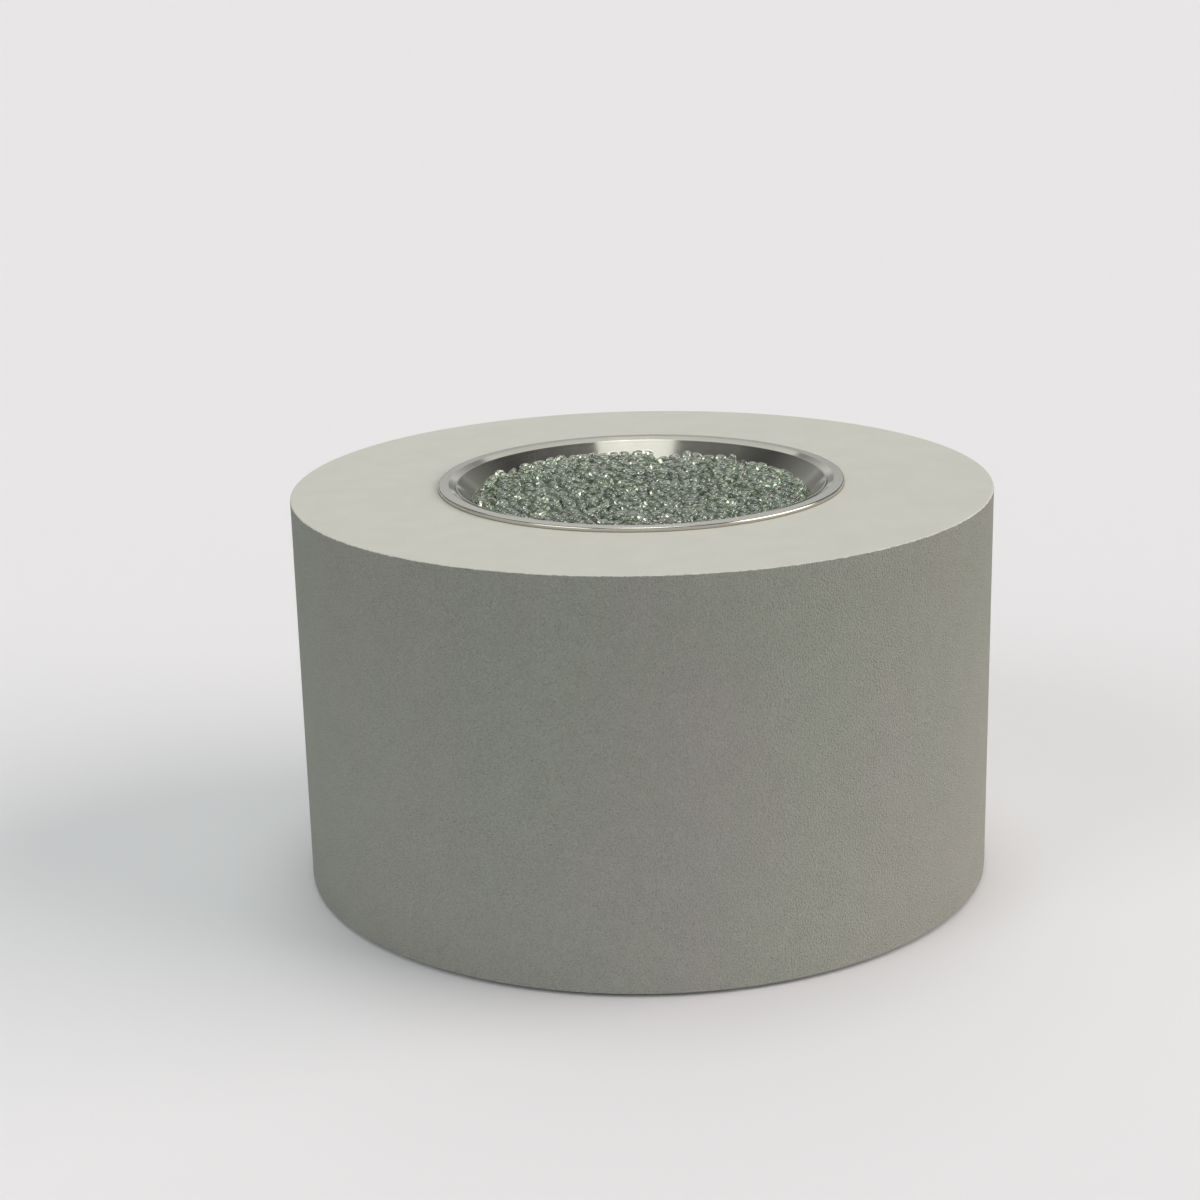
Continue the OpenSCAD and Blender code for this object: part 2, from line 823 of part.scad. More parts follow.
module control_knob() {
    grip_r = knob_d / 2 - 4;
    flute_count = 12;
    skirt_h = 4;
    round_r = 3;
    color(rubber)
        at(control_phi)
            translate([knob_x, knob_base, tube_z])
                rotate([-90, 0, 0])
                    difference() {
                        union() {
                            rotate_extrude($fn = 96)
                                polygon(concat(
                                    [[0, 0], [knob_d / 2, 0], [knob_d / 2, skirt_h - 1],
                                     [knob_d / 2 - 1, skirt_h], [grip_r, skirt_h]],
                                    arc(grip_r - 1 - round_r, knob_h - round_r, round_r, 0, 90),
                                    [[0, knob_h]]));
                            translate([-1.25, -grip_r + 1, knob_h - over])
                                cube([2.5, grip_r - 2, 2]);
                        }
                        for (i = [0:flute_count - 1])
                            rotate([0, 0, 360 * (i + 0.5) / flute_count])
                                translate([grip_r + 1.2, 0, skirt_h])
                                    cylinder(h = knob_h, d = 5);
                        translate([0, 0, -over])
                            cylinder(h = knob_h - knob_wall + over + seat, d = stem_d + 2 * running);
                    }
}

module control_plate() {
    color(steel)
        at(control_phi)
            difference() {
                translate([0, 0, tube_z])
                    window(plate_w, plate_h, 6, pad_y, plate_face);
                translate([knob_x, 0, tube_z])
                    rod_y(neck_d + 2 * seat, pad_y - over, plate_face + over);
                translate([igniter_x, 0, tube_z])
                    rod_y(igniter_d + 2 * seat, pad_y - over, plate_face + over);
                plate_corners()
                    rod_y(screw_d + 2 * thread_fit, pad_y - over, plate_face + over);
            }
}

module igniter_body() {
    color(rubber)
        at(control_phi)
            translate([igniter_x, 0, tube_z])
                difference() {
                    union() {
                        rod_y(igniter_d, igniter_back, plate_face + over);
                        rod_y(bezel_d, plate_face, plate_face + bezel_h);
                        rod_y(terminal_d, igniter_back - terminal_l, igniter_back + over);
                    }
                    rod_y(button_d + 2 * running, button_foot, plate_face + bezel_h + over);
                    rod_y(collar_d + 2 * seat, button_foot - button_travel - seat,
                          button_foot + collar_h + seat);
                }
}

module igniter_nut() {
    nut_y = valve_seat - igniter_nut_h;
    color(zinc)
        at(control_phi)
            translate([igniter_x, 0, tube_z])
                difference() {
                    hex_y(igniter_d + 8, nut_y, valve_seat);
                    rod_y(igniter_d + 2 * running, nut_y - over, valve_seat + over);
                }
}

module igniter_button() {
    face = plate_face + bezel_h + button_out;
    dome = 1;
    color("firebrick")
        at(control_phi)
            translate([igniter_x, 0, tube_z]) {
                rod_y(collar_d, button_foot, button_foot + collar_h);
                rod_y(button_d, button_foot + collar_h - 0.5, face - dome);
                translate([0, face - dome, 0])
                    rotate([-90, 0, 0])
                        cylinder(h = dome, d1 = button_d, d2 = button_d - 2 * dome);
            }
}

// The lead runs from the igniter's terminal beside the gas tube, then up to the electrode
lead_start = igniter_back - terminal_l;
lead_swan_y = lead_start - 4;
lead_turn_y = lead_rise_y + lead_up_bend;
lead_path = concat(
    [[igniter_x, lead_start, 0]],
    [for (p = swan_points(lead_bend, lead_x - igniter_x)) p + [igniter_x, lead_swan_y, 0]],
    [for (i = [0:bend_steps])
        let (a = 90 * i / bend_steps)
        [lead_x, lead_turn_y - lead_up_bend * sin(a), lead_up_bend * (1 - cos(a))]],
    [[lead_x, lead_rise_y, electrode_foot - tube_z]]);

module ignition_lead() {
    color("dimgray")
        at(control_phi)
            translate([0, 0, tube_z])
                swept_tube(lead_path, lead_d);
}

module lead_clips() {
    span = swan_in - tube_in - nut_l - clip_t;
    color(rubber)
        at(control_phi)
            for (share = clip_places)
                translate([0, tube_in + nut_l + share * span, tube_z])
                    difference() {
                        union() {
                            rod_y(tube_d + 4, 0, clip_t);
                            translate([lead_x, 0, 0])
                                rod_y(lead_d + 4, 0, clip_t);
                        }
                        rod_y(tube_d + 2 * running, -over, clip_t + over);
                        translate([lead_x, 0, 0])
                            rod_y(lead_d + 2 * running, -over, clip_t + over);
                    }
}

module spark_electrode() {
    tip_d = 2;
    tip_l = 8;
    color(ceramic)
        at(control_phi)
            translate([lead_x, lead_rise_y, 0]) {
                translate([0, 0, electrode_foot])
                    cylinder(h = electrode_top - electrode_foot, d = electrode_d);
                translate([0, 0, floor_z])
                    cylinder(h = electrode_flange_h, d = electrode_flange_d);
                translate([0, 0, electrode_top - over])
                    cylinder(h = tip_l, d = tip_d);
            }
}

module post_places() {
    for (phi = [0, 120, 240])
        at(phi)
            translate([0, post_ring, 0])
                children();
}

module heat_shield() {
    lip_h = 12;
    color(zinc)
        difference() {
            union() {
                translate([0, 0, shield_z])
                    cylinder(h = shield_t, d = shield_d, $fn = 180);
                ring(shield_d / 2 - shield_t, shield_d / 2, shield_z, shield_z + lip_h);
            }
            translate([0, 0, shield_z - over])
                cylinder(h = shield_t + 2 * over, r = elbow_r + 8);
            at(control_phi)
                translate([lead_x, lead_rise_y, shield_z - over])
                    cylinder(h = shield_t + 2 * over, d = lead_d + 6);
            post_places()
                translate([0, 0, shield_z - over])
                    cylinder(h = shield_t + 2 * over, d = post_stud_d + 2 * seat);
        }
}

module shield_posts() {
    stud_end = shield_z - shield_nut_h - 3;
    color(zinc)
        post_places() {
            translate([0, 0, shield_z + shield_t])
                cylinder(h = shield_gap, d = post_d);
            translate([0, 0, stud_end])
                cylinder(h = shield_z + shield_t + over - stud_end, d = post_stud_d);
        }
}

module shield_nuts() {
    color(zinc)
        post_places()
            translate([0, 0, shield_z - shield_nut_h])
                difference() {
                    hex(post_stud_d + 4, shield_nut_h);
                    translate([0, 0, -over])
                        cylinder(h = shield_nut_h + 2 * over, d = post_stud_d + 2 * running);
                }
}

// Base

module base_frame() {
    color(dark_steel)
        difference() {
            union() {
                rotate_extrude($fn = 180)
                    polygon([[ring_in, frame_z], [ring_out, frame_z],
                             [ring_out, frame_z + ring_upright],
                             [ring_out - frame_t, frame_z + ring_upright],
                             [ring_out - frame_t, frame_top], [ring_in, frame_top]]);
                intersection() {
                    for (y = [-1, 1])
                        translate([-wall_r, tank_y + y * rail_pitch / 2 - rail_w / 2, frame_z])
                            cube([2 * wall_r, rail_w, frame_t]);
                    cylinder(h = table_h, r = ring_in + over, $fn = 180);
                }
                for (phi = foot_phis)
                    at(phi)
                        translate([0, foot_ring, frame_top - over])
                            hex(stud_d + 6, weld_nut_h + over);
            }
            for (phi = foot_phis)
                at(phi)
                    translate([0, foot_ring, frame_z - over])
                        cylinder(h = frame_t + weld_nut_h + 2 * over, d = stud_d + 2 * running);
            for (phi = bolt_phis)
                at(phi)
                    translate([0, 0, bolt_z])
                        rod_y(bolt_d + 2 * thread_fit, ring_out - 2 * frame_t, ring_out + over);
            tray_screw_places()
                translate([0, 0, frame_z - over])
                    cylinder(h = frame_t + 2 * over, d = tray_screw_d + 2 * thread_fit);
        }
}

module frame_bolts() {
    color(zinc)
        for (phi = bolt_phis)
            at(phi)
                translate([0, 0, bolt_z]) {
                    rod_y(bolt_d, ring_out - frame_t - over, wall_in + bolt_sink);
                    hex_y(bolt_d + 5, ring_out - frame_t - bolt_head_h, ring_out - frame_t);
                }
}

module tray_screw_places() {
    for (x = [-1, 1], y = [-1, 1])
        translate([x * tray_screw_x, tank_y + y * rail_pitch / 2, 0])
            children();
}

module tank_tray() {
    color(dark_steel)
        difference() {
            translate([0, tank_y, frame_top]) {
                cylinder(h = tray_t, d = tray_d, $fn = 120);
                ring(tray_d / 2 - tray_t, tray_d / 2, 0, tray_rim);
            }
            tray_screw_places()
                translate([0, 0, frame_top - over])
                    cylinder(h = tray_t + 2 * over, d = tray_screw_d + 2 * thread_fit);
        }
}

module tray_screws() {
    color(zinc)
        tray_screw_places() {
            translate([0, 0, frame_z])
                cylinder(h = frame_t + tray_t + over, d = tray_screw_d);
            translate([0, 0, frame_top + tray_t])
                cylinder(h = tray_screw_head_h, d1 = tray_screw_head_d, d2 = tray_screw_head_d - 3);
        }
}

module foot_stud(phi) {
    color(zinc)
        at(phi)
            translate([0, foot_ring, foot_h / 2])
                cylinder(h = foot_h / 2 + stud_l, d = stud_d);
}

module foot_pad(phi) {
    color(rubber)
        at(phi)
            translate([0, foot_ring, 0])
                difference() {
                    union() {
                        cylinder(h = foot_h - 3, d = foot_d);
                        translate([0, 0, foot_h - 3])
                            cylinder(h = 3, d1 = foot_d, d2 = foot_d - 8);
                    }
                    translate([0, 0, foot_h / 2])
                        cylinder(h = foot_h, d = stud_d);
                }
}

// Vents and trim

module vent_grille(side) {
    slot_h = vent_opening_h - 8;
    pitch = (vent_opening_w - slot_w) / slot_count;
    color(steel)
        at(side * vent_phi)
            difference() {
                intersection() {
                    ring(wall_r + vent_seat, wall_r + vent_t, vent_z - vent_h, vent_z + vent_h);
                    translate([0, 0, vent_z])
                        window(vent_w, vent_h, 6, wall_in, wall_r + 2 * vent_t);
                }
                for (i = [0:slot_count - 1])
                    translate([(i - (slot_count - 1) / 2) * pitch, 0, vent_z])
                        window(slot_w, slot_h, slot_w / 2 - 0.1, wall_in, wall_r + 2 * vent_t);
                vent_corners()
                    rod_y(screw_d + 2 * thread_fit, wall_in, wall_r + 2 * vent_t);
            }
}

module trim_screws() {
    color(steel) {
        at(control_phi)
            plate_corners()
                pan_screw_y(plate_face);
        for (side = [-1, 1])
            at(side * vent_phi)
                vent_corners()
                    pan_screw_y(wall_r + vent_t);
    }
}

// Door hardware

// The places of the hinge screws on the wall (side 1) or on the door (side -1),
// with local +Y pointing from the leaf's face into the casting
module hinge_screw_places(side) {
    for (z = hinge_places, end = [0.2, 0.8])
        translate([hinge_x + side * (door_gap / 2 - leaf_t), leaf_y + leaf_depth / 2,
                   z + end * hinge_l])
            rotate([0, 0, -90 * side])
                children();
}

// One leaf with its knuckles; side 1 is the wall's leaf and has the two outer knuckles
module hinge_leaf(side) {
    third = hinge_l / 3;
    spans = side > 0 ? [[0, third - knuckle_gap / 2], [2 * third + knuckle_gap / 2, hinge_l]]
                     : [[third + knuckle_gap / 2, 2 * third - knuckle_gap / 2]];
    face_x = side > 0 ? door_gap / 2 - leaf_t : -door_gap / 2;
    difference() {
        union() {
            translate([hinge_x + face_x, leaf_y, 0])
                cube([leaf_t, hinge_y - leaf_y - barrel_d / 2 - 2 * seat, hinge_l]);
            for (span = spans)
                translate([hinge_x, hinge_y, span[0]]) {
                    cylinder(h = span[1] - span[0], d = barrel_d);
                    translate([face_x, leaf_y - hinge_y, 0])
                        cube([leaf_t, hinge_y - leaf_y - hinge_pin_d / 2 - seat, span[1] - span[0]]);
                }
        }
        translate([hinge_x, hinge_y, -over])
            cylinder(h = hinge_l + 2 * over, d = hinge_pin_d + 2 * running);
    }
}

module hinge_leaves(side) {
    color(steel)
        difference() {
            for (z = hinge_places)
                translate([0, 0, z])
                    hinge_leaf(side);
            hinge_screw_places(side) {
                rod_y(hinge_screw_d + 2 * thread_fit, -over, leaf_t + over);
                rod_y(hinge_screw_head + 2 * thread_fit, -over, hinge_screw_head_h);
            }
        }
}

module hinge_screws(side) {
    color(zinc)
        hinge_screw_places(side) {
            rod_y(hinge_screw_head, 0, hinge_screw_head_h);
            rod_y(hinge_screw_d, hinge_screw_head_h / 2, hinge_screw_l);
        }
}

module hinge_pins() {
    cap_h = 1.5;
    color(steel)
        for (z = hinge_places)
            translate([hinge_x, hinge_y, z]) {
                cylinder(h = hinge_l + cap_h, d = hinge_pin_d);
                translate([0, 0, hinge_l])
                    cylinder(h = cap_h, d = barrel_d - 1);
            }
}

module door_pull() {
    color(steel)
        at(-pull_phi)
            translate([0, 0, door_mid]) {
                rod_y(pull_stud_d, wall_in - pull_nut_h - 2, wall_r + over);
                translate([0, wall_r, 0])
                    rotate([-90, 0, 0])
                        rotate_extrude()
                            polygon(concat(
                                [[0, 0], [pull_neck_d / 2 + 2, 0], [pull_neck_d / 2, 3],
                                 [pull_neck_d / 2, pull_out / 2]],
                                arc(pull_d / 2 - 3, pull_out - 4, 3, -60, 90),
                                [[0, pull_out]]));
            }
}

module pull_nut() {
    nut_y = wall_in - pull_nut_h - seat;
    color(zinc)
        at(-pull_phi)
            translate([0, 0, door_mid])
                difference() {
                    hex_y(pull_stud_d + 4, nut_y, nut_y + pull_nut_h);
                    rod_y(pull_stud_d + 2 * running, nut_y - over, nut_y + pull_nut_h + over);
                }
}

// The catch stands on the wall beside the door and reaches behind the door's edge
catch_seat = sqrt(pow(wall_in, 2) - pow(catch_base + over, 2)) - 0.1;
strike_back = sqrt(pow(wall_in, 2) - pow(catch_reach + door_gap, 2)) - 0.1;
module magnet_catch() {
    tongue_face = strike_back - strike_t - seat;
    color(rubber)
        at(catch_phi)
            translate([0, 0, door_mid - catch_h / 2]) {
                translate([-catch_base - over, catch_seat - catch_t, 0])
                    cube([catch_base, catch_t, catch_h]);
                translate([-over - 0.5, catch_seat - catch_t, 0])
                    cube([catch_reach, tongue_face - catch_seat + catch_t, catch_h]);
            }
}

module strike_plate() {
    color(zinc)
        at(catch_phi)
            translate([door_gap + over, strike_back - strike_t, door_mid - catch_h / 2])
                cube([catch_reach - over, strike_t, catch_h]);
}

body_wall();
top_deck();
pan_gasket();
burner_pan();
glass_bed();
glass_beads();
burner_ring();
inlet_nipple();
nipple_locknut();
inlet_elbow();
air_mixer();
gas_orifice();
gas_tube();
tube_nuts();
valve_body();
valve_nut();
valve_stem();
control_knob();
control_plate();
igniter_body();
igniter_nut();
igniter_button();
ignition_lead();
lead_clips();
spark_electrode();
heat_shield();
shield_posts();
shield_nuts();
base_frame();
frame_bolts();
tank_tray();
tray_screws();
vent_grille(-1);  // vent_grille_left
vent_grille(1);  // vent_grille_right
trim_screws();
access_door();
hinge_leaves(1);  // hinge_leaves_wall
hinge_leaves(-1);  // hinge_leaves_door
hinge_pins();
hinge_screws(1);  // hinge_screws_wall
hinge_screws(-1);  // hinge_screws_door
door_pull();
pull_nut();
magnet_catch();
strike_plate();
foot_stud(foot_phis[0]);  // foot_stud_1
foot_pad(foot_phis[0]);  // foot_pad_1
foot_stud(foot_phis[1]);  // foot_stud_2
foot_pad(foot_phis[1]);  // foot_pad_2
foot_stud(foot_phis[2]);  // foot_stud_3
foot_pad(foot_phis[2]);  // foot_pad_3
foot_stud(foot_phis[3]);  // foot_stud_4
foot_pad(foot_phis[3]);  // foot_pad_4
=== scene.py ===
# %% [markdown]
# # A round gas fire pit table
# The table is a cast cylinder with a pale deck, a spun steel burner pan and a heap of clear glass beads.
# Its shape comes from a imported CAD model, so this lesson adds what CAD leaves out: finishes, beads and
# light. Everything is in metres, with the floor at zero height and the photographed side facing -Y.

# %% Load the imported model
import json
import math

import bmesh
import bpy
import numpy as np
from mathutils import Matrix, Vector, noise


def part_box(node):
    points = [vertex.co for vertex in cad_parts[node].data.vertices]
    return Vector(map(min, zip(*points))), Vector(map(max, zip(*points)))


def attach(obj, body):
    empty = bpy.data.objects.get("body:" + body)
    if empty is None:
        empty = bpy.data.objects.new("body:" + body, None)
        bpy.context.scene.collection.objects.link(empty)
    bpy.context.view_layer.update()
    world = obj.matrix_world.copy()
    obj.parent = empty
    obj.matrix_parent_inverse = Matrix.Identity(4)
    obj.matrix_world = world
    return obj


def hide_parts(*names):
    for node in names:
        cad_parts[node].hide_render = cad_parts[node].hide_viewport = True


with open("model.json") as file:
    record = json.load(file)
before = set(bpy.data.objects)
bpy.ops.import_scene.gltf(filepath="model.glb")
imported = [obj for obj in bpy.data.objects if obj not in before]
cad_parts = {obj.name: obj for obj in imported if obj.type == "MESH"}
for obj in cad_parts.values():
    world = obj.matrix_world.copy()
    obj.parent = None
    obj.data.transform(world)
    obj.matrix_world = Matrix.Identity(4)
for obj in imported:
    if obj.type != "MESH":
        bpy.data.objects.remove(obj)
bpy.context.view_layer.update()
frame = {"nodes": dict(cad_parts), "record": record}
nodes = frame["nodes"]
print("pieces from the CAD model:", len(nodes))

# %% [markdown]
# ## Camera
# The picture was taken from a standing person's height, a little to one side and a little out of level.
# A camera could be set by eye, but the ellipses of the deck, rim and foot give its place exactly.
# So the angles below were worked out from those ellipses, and the camera is built from them step by step.

# %% Set the camera
DECK_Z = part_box("top_deck")[1].z
camera_distance = 3.470
camera_elevation = math.radians(13.354)
camera_yaw = math.radians(1.090)
camera_aim = math.radians(-2.987)
camera_roll = math.radians(1.116)

forward = Vector((0, math.cos(camera_elevation), -math.sin(camera_elevation)))
right = Vector((1, 0, 0))
up = right.cross(forward)
place = Vector((0, 0, DECK_Z)) - forward * camera_distance
turn = Matrix.Rotation(camera_yaw, 3, up)
forward, right = turn @ forward, turn @ right
forward = Matrix.Rotation(camera_aim, 3, right) @ forward
up = right.cross(forward)
turn = Matrix.Rotation(camera_roll, 3, forward)
right, up = turn @ right, turn @ up

camera_data = bpy.data.cameras.new("camera")
camera_data.sensor_width = 36.0
camera_data.lens = 67.84
camera = bpy.data.objects.new("camera", camera_data)
axes = Matrix((right, up, -forward)).transposed()
camera.matrix_world = Matrix.Translation(place) @ axes.to_4x4()
bpy.context.scene.collection.objects.link(camera)
bpy.context.scene.camera = camera
print("camera at", [round(c, 3) for c in place])

# %% [markdown]
# ## Node helpers
# The sky and every finish below are small graphs of nodes. Each node could be made and linked line by line,
# but then the recipe drowns in wiring. So a few helpers make a node, set it and give back what it puts out.
# The first ones are for the sky, and the others come where a finish first needs them.

# %% Write the first node helpers
def add_node(tree, kind, inputs=None, **settings):
    """A node with its settings, its constants and its links made in one call."""
    made = tree.nodes.new(kind)
    for name, value in settings.items():
        setattr(made, name, value)
    for name, value in (inputs or {}).items():
        if isinstance(value, bpy.types.NodeSocket):
            tree.links.new(value, made.inputs[name])
        else:
            made.inputs[name].default_value = value
    return made


def maths(tree, operation, first, second=0.0):
    """The value of one arithmetic node."""
    made = add_node(tree, "ShaderNodeMath", {0: first, 1: second}, operation=operation)
    return made.outputs["Value"]


def ranged(tree, value, low, high, first=0.0, last=1.0):
    """A value carried from one range to another, and held at the ends."""
    made = add_node(
        tree, "ShaderNodeMapRange",
        {"Value": value, "From Min": low, "From Max": high, "To Min": first, "To Max": last})
    return made.outputs["Result"]


def split(tree, vector):
    """The three numbers of a vector."""
    return add_node(tree, "ShaderNodeSeparateXYZ", {"Vector": vector}).outputs


def along_way(tree, spot, way):
    """How far a place lies along a way."""
    made = add_node(tree, "ShaderNodeVectorMath", {0: spot, 1: way}, operation="DOT_PRODUCT")
    return made.outputs["Value"]


print("node helpers:", [helper.__name__ for helper in (add_node, maths, ranged, split, along_way)])

# %% [markdown]
# ## Light and floor
# The picture shows a pale even ground, a bright deck, a darker wall that grows lighter to the right, and a
# bright streak on the far side of a dark dish. A room of lamps and cards could be modelled for this.
# A painted sky does the same with less: a pale strip at the horizon, a darker band, a bright band above it,
# a lean to the front left, and two dark flags behind, at the sides, for the dish to mirror.
# A key lamp and a soft box hang overhead, a broad lamp over the far side lights the far rim, a broad warm
# one stands to the right, and a small one at the front left makes the glints.

# %% Build the sky
sky_stops = [
    (0.0, 0.74), (0.045, 0.72), (0.08, 0.26), (0.13, 0.30),
    (0.21, 0.46), (0.27, 0.88), (0.45, 0.62), (0.70, 0.16)]
sky_lean = (-0.20, -0.08, 0.0)
strip_fade = (0.05, 0.12)
flag_side_fade = (0.15, 0.40)
flag_back_fade = (0.10, 0.45)
flag_depth = 0.62

sky = bpy.data.worlds.new("studio_sky")
bpy.context.scene.world = sky
sky.use_nodes = True
sky_tree = sky.node_tree
sky_tree.nodes.clear()
look_way = add_node(sky_tree, "ShaderNodeTexCoord").outputs["Generated"]
look_xyz = split(sky_tree, look_way)
sky_ramp = add_node(sky_tree, "ShaderNodeValToRGB", {"Fac": look_xyz["Z"]})
ramp_stops = sky_ramp.color_ramp.elements
while len(ramp_stops) < len(sky_stops):
    ramp_stops.new(0.5)
for stop, (height, level) in zip(ramp_stops, sky_stops):
    stop.position = height
    stop.color = (level, level, level, 1.0)

above_strip = ranged(sky_tree, look_xyz["Z"], *strip_fade)
lean = maths(sky_tree, "MULTIPLY", along_way(sky_tree, look_way, sky_lean), above_strip)
sideways = maths(sky_tree, "ABSOLUTE", look_xyz["X"])
flag_side = ranged(sky_tree, sideways, *flag_side_fade)
flag_back = ranged(sky_tree, look_xyz["Y"], *flag_back_fade, 0.0, flag_depth)
flag = maths(sky_tree, "MULTIPLY", maths(sky_tree, "MULTIPLY", flag_side, flag_back), above_strip)
sky_level = maths(
    sky_tree, "MULTIPLY", maths(sky_tree, "ADD", lean, 1.0), maths(sky_tree, "SUBTRACT", 1.0, flag))
background = add_node(
    sky_tree, "ShaderNodeBackground", {"Color": sky_ramp.outputs["Color"], "Strength": sky_level})
add_node(sky_tree, "ShaderNodeOutputWorld", {"Surface": background.outputs["Background"]})
bpy.context.scene.view_settings.view_transform = "Standard"
print("sky levels from the horizon up:", [level for _, level in sky_stops])

# %% Hang the lamps
lamp_distance = 4


def hang_lamp(name, towards, level, spread_deg, colour):
    """A far lamp. Its level is what it adds to a white surface that faces it."""
    data = bpy.data.lights.new(name, "SUN")
    data.energy = level * math.pi
    data.angle = math.radians(spread_deg)
    data.color = colour
    lamp = bpy.data.objects.new(name, data)
    lamp.rotation_mode = "QUATERNION"
    lamp.rotation_quaternion = Vector(towards).to_track_quat("Z", "Y")
    lamp.location = Vector(towards).normalized() * lamp_distance
    bpy.context.scene.collection.objects.link(lamp)
    print("lamp", name, "level", level)


hang_lamp("lamp_key", (0.02, 0.16, 0.987), 0.13, 22, (0.97, 1.0, 1.0))
hang_lamp("lamp_box", (0.03, -0.17, 0.98), 0.070, 30, (1.0, 1.0, 0.98))
hang_lamp("lamp_far", (0.0, 0.48, 0.88), 0.16, 58, (1.0, 0.99, 0.95))
hang_lamp("lamp_right", (0.90, -0.06, 0.42), 0.65, 56, (1.0, 0.87, 0.83))
hang_lamp("lamp_glint", (-0.62, -0.50, 0.60), 0.13, 28, (1.0, 1.0, 1.0))

# %% Lay the floor
floor_reach = 600.0


def linear(red, green, blue):
    """A colour written as on a screen, from 0 to 255, in the linear values that shaders use."""
    def channel(c):
        c = c / 255
        return c / 12.92 if c <= 0.04045 else ((c + 0.055) / 1.055) ** 2.4
    return (channel(red), channel(green), channel(blue), 1.0)


floor_mesh = bpy.data.meshes.new("floor")
floor_mesh.from_pydata(
    [(x * floor_reach, y * floor_reach, 0) for x, y in ((-1, -1), (1, -1), (1, 1), (-1, 1))],
    [], [(0, 1, 2, 3)])
floor = bpy.data.objects.new("floor", floor_mesh)
bpy.context.scene.collection.objects.link(floor)

floor_paint = bpy.data.materials.new("floor_paint")
floor_paint.use_nodes = True
floor_shader = floor_paint.node_tree.nodes["Principled BSDF"]
floor_shader.inputs["Base Color"].default_value = linear(236, 238, 240)
floor_shader.inputs["Roughness"].default_value = 1.0
floor_shader.inputs["Specular IOR Level"].default_value = 0.0
floor_mesh.materials.append(floor_paint)
print("floor reaches", floor_reach, "m each way")

# %% [markdown]
# ## Effects that several finishes share
# Cast stone, powder coat, rubber and moulded plastic all have a fine orange-peel skin, only in other sizes.
# Turned, spun and brushed metal all have fine lines, only in other directions.
# Each effect could be rebuilt in every material, but a node group is made once and set by its inputs.

# %% Make the orange-peel group
NUMBER, COLOUR, PLACE = "NodeSocketFloat", "NodeSocketColor", "NodeSocketVector"
blotch_share = 0.045


def new_group(name, inputs, outputs):
    """An empty shader group with its sockets, its input values and its output sockets."""
    tree = bpy.data.node_groups.new(name, "ShaderNodeTree")
    for title, kind, value in inputs:
        socket = tree.interface.new_socket(name=title, in_out="INPUT", socket_type=kind)
        socket.default_value = value
    for title, kind in outputs:
        tree.interface.new_socket(name=title, in_out="OUTPUT", socket_type=kind)
    entry = tree.nodes.new("NodeGroupInput")
    leave = tree.nodes.new("NodeGroupOutput")
    return tree, entry.outputs, leave.inputs


def object_place(tree):
    """The piece's own coordinates, which stay with it when it moves."""
    return add_node(tree, "ShaderNodeTexCoord").outputs["Object"]


def noise_at(tree, spot, scale, detail):
    """A cloudy noise with so many lumps per metre."""
    made = add_node(tree, "ShaderNodeTexNoise", {"Vector": spot, "Scale": scale, "Detail": detail})
    return made.outputs["Fac"]


peel, peel_in, peel_out = new_group(
    "orange_peel", [("Lumps per metre", NUMBER, 170.0), ("Pits", NUMBER, 0.5)],
    [("Height", NUMBER), ("Blotch", NUMBER)])
peel_place = object_place(peel)
lumps = noise_at(peel, peel_place, peel_in["Lumps per metre"], 2.0)
pits = add_node(
    peel, "ShaderNodeTexVoronoi",
    {"Vector": peel_place, "Scale": peel_in["Lumps per metre"]}, feature="F1")
pit_depth = maths(peel, "MULTIPLY", pits.outputs["Distance"], peel_in["Pits"])
peel.links.new(maths(peel, "SUBTRACT", lumps, pit_depth), peel_out["Height"])
blotch_scale = maths(peel, "MULTIPLY", peel_in["Lumps per metre"], blotch_share)
peel.links.new(noise_at(peel, peel_place, blotch_scale, 4.0), peel_out["Blotch"])
print("group", peel.name)

# %% Make the metal-line group
smears_per_metre = 22.0
smear_gain = 0.16


def brightened(tree, colour, gain):
    """A colour made lighter or darker by a gain around 1."""
    made = add_node(tree, "ShaderNodeVectorMath", {0: colour, "Scale": gain}, operation="SCALE")
    return made.outputs["Vector"]


lines, lines_in, lines_out = new_group(
    "metal_lines",
    [("Line place", PLACE, (0, 0, 0)), ("Colour", COLOUR, (0.5, 0.5, 0.5, 1)),
     ("Roughness", NUMBER, 0.3), ("Contrast", NUMBER, 0.2)],
    [("Colour", COLOUR), ("Roughness", NUMBER), ("Height", NUMBER)])
strands = noise_at(lines, lines_in["Line place"], 1.0, 3.0)
smears = noise_at(lines, object_place(lines), smears_per_metre, 3.0)
strand_swing = maths(lines, "SUBTRACT", strands, 0.5)
line_swing = maths(lines, "MULTIPLY", strand_swing, lines_in["Contrast"])
line_colour = brightened(lines, lines_in["Colour"], maths(lines, "ADD", line_swing, 1.0))
lines.links.new(line_colour, lines_out["Colour"])
smear_swing = maths(lines, "MULTIPLY", maths(lines, "SUBTRACT", smears, 0.5), smear_gain)
rough_swing = maths(lines, "ADD", maths(lines, "MULTIPLY", line_swing, 0.5), smear_swing)
lines.links.new(maths(lines, "ADD", lines_in["Roughness"], rough_swing), lines_out["Roughness"])
lines.links.new(strands, lines_out["Height"])
print("group", lines.name)
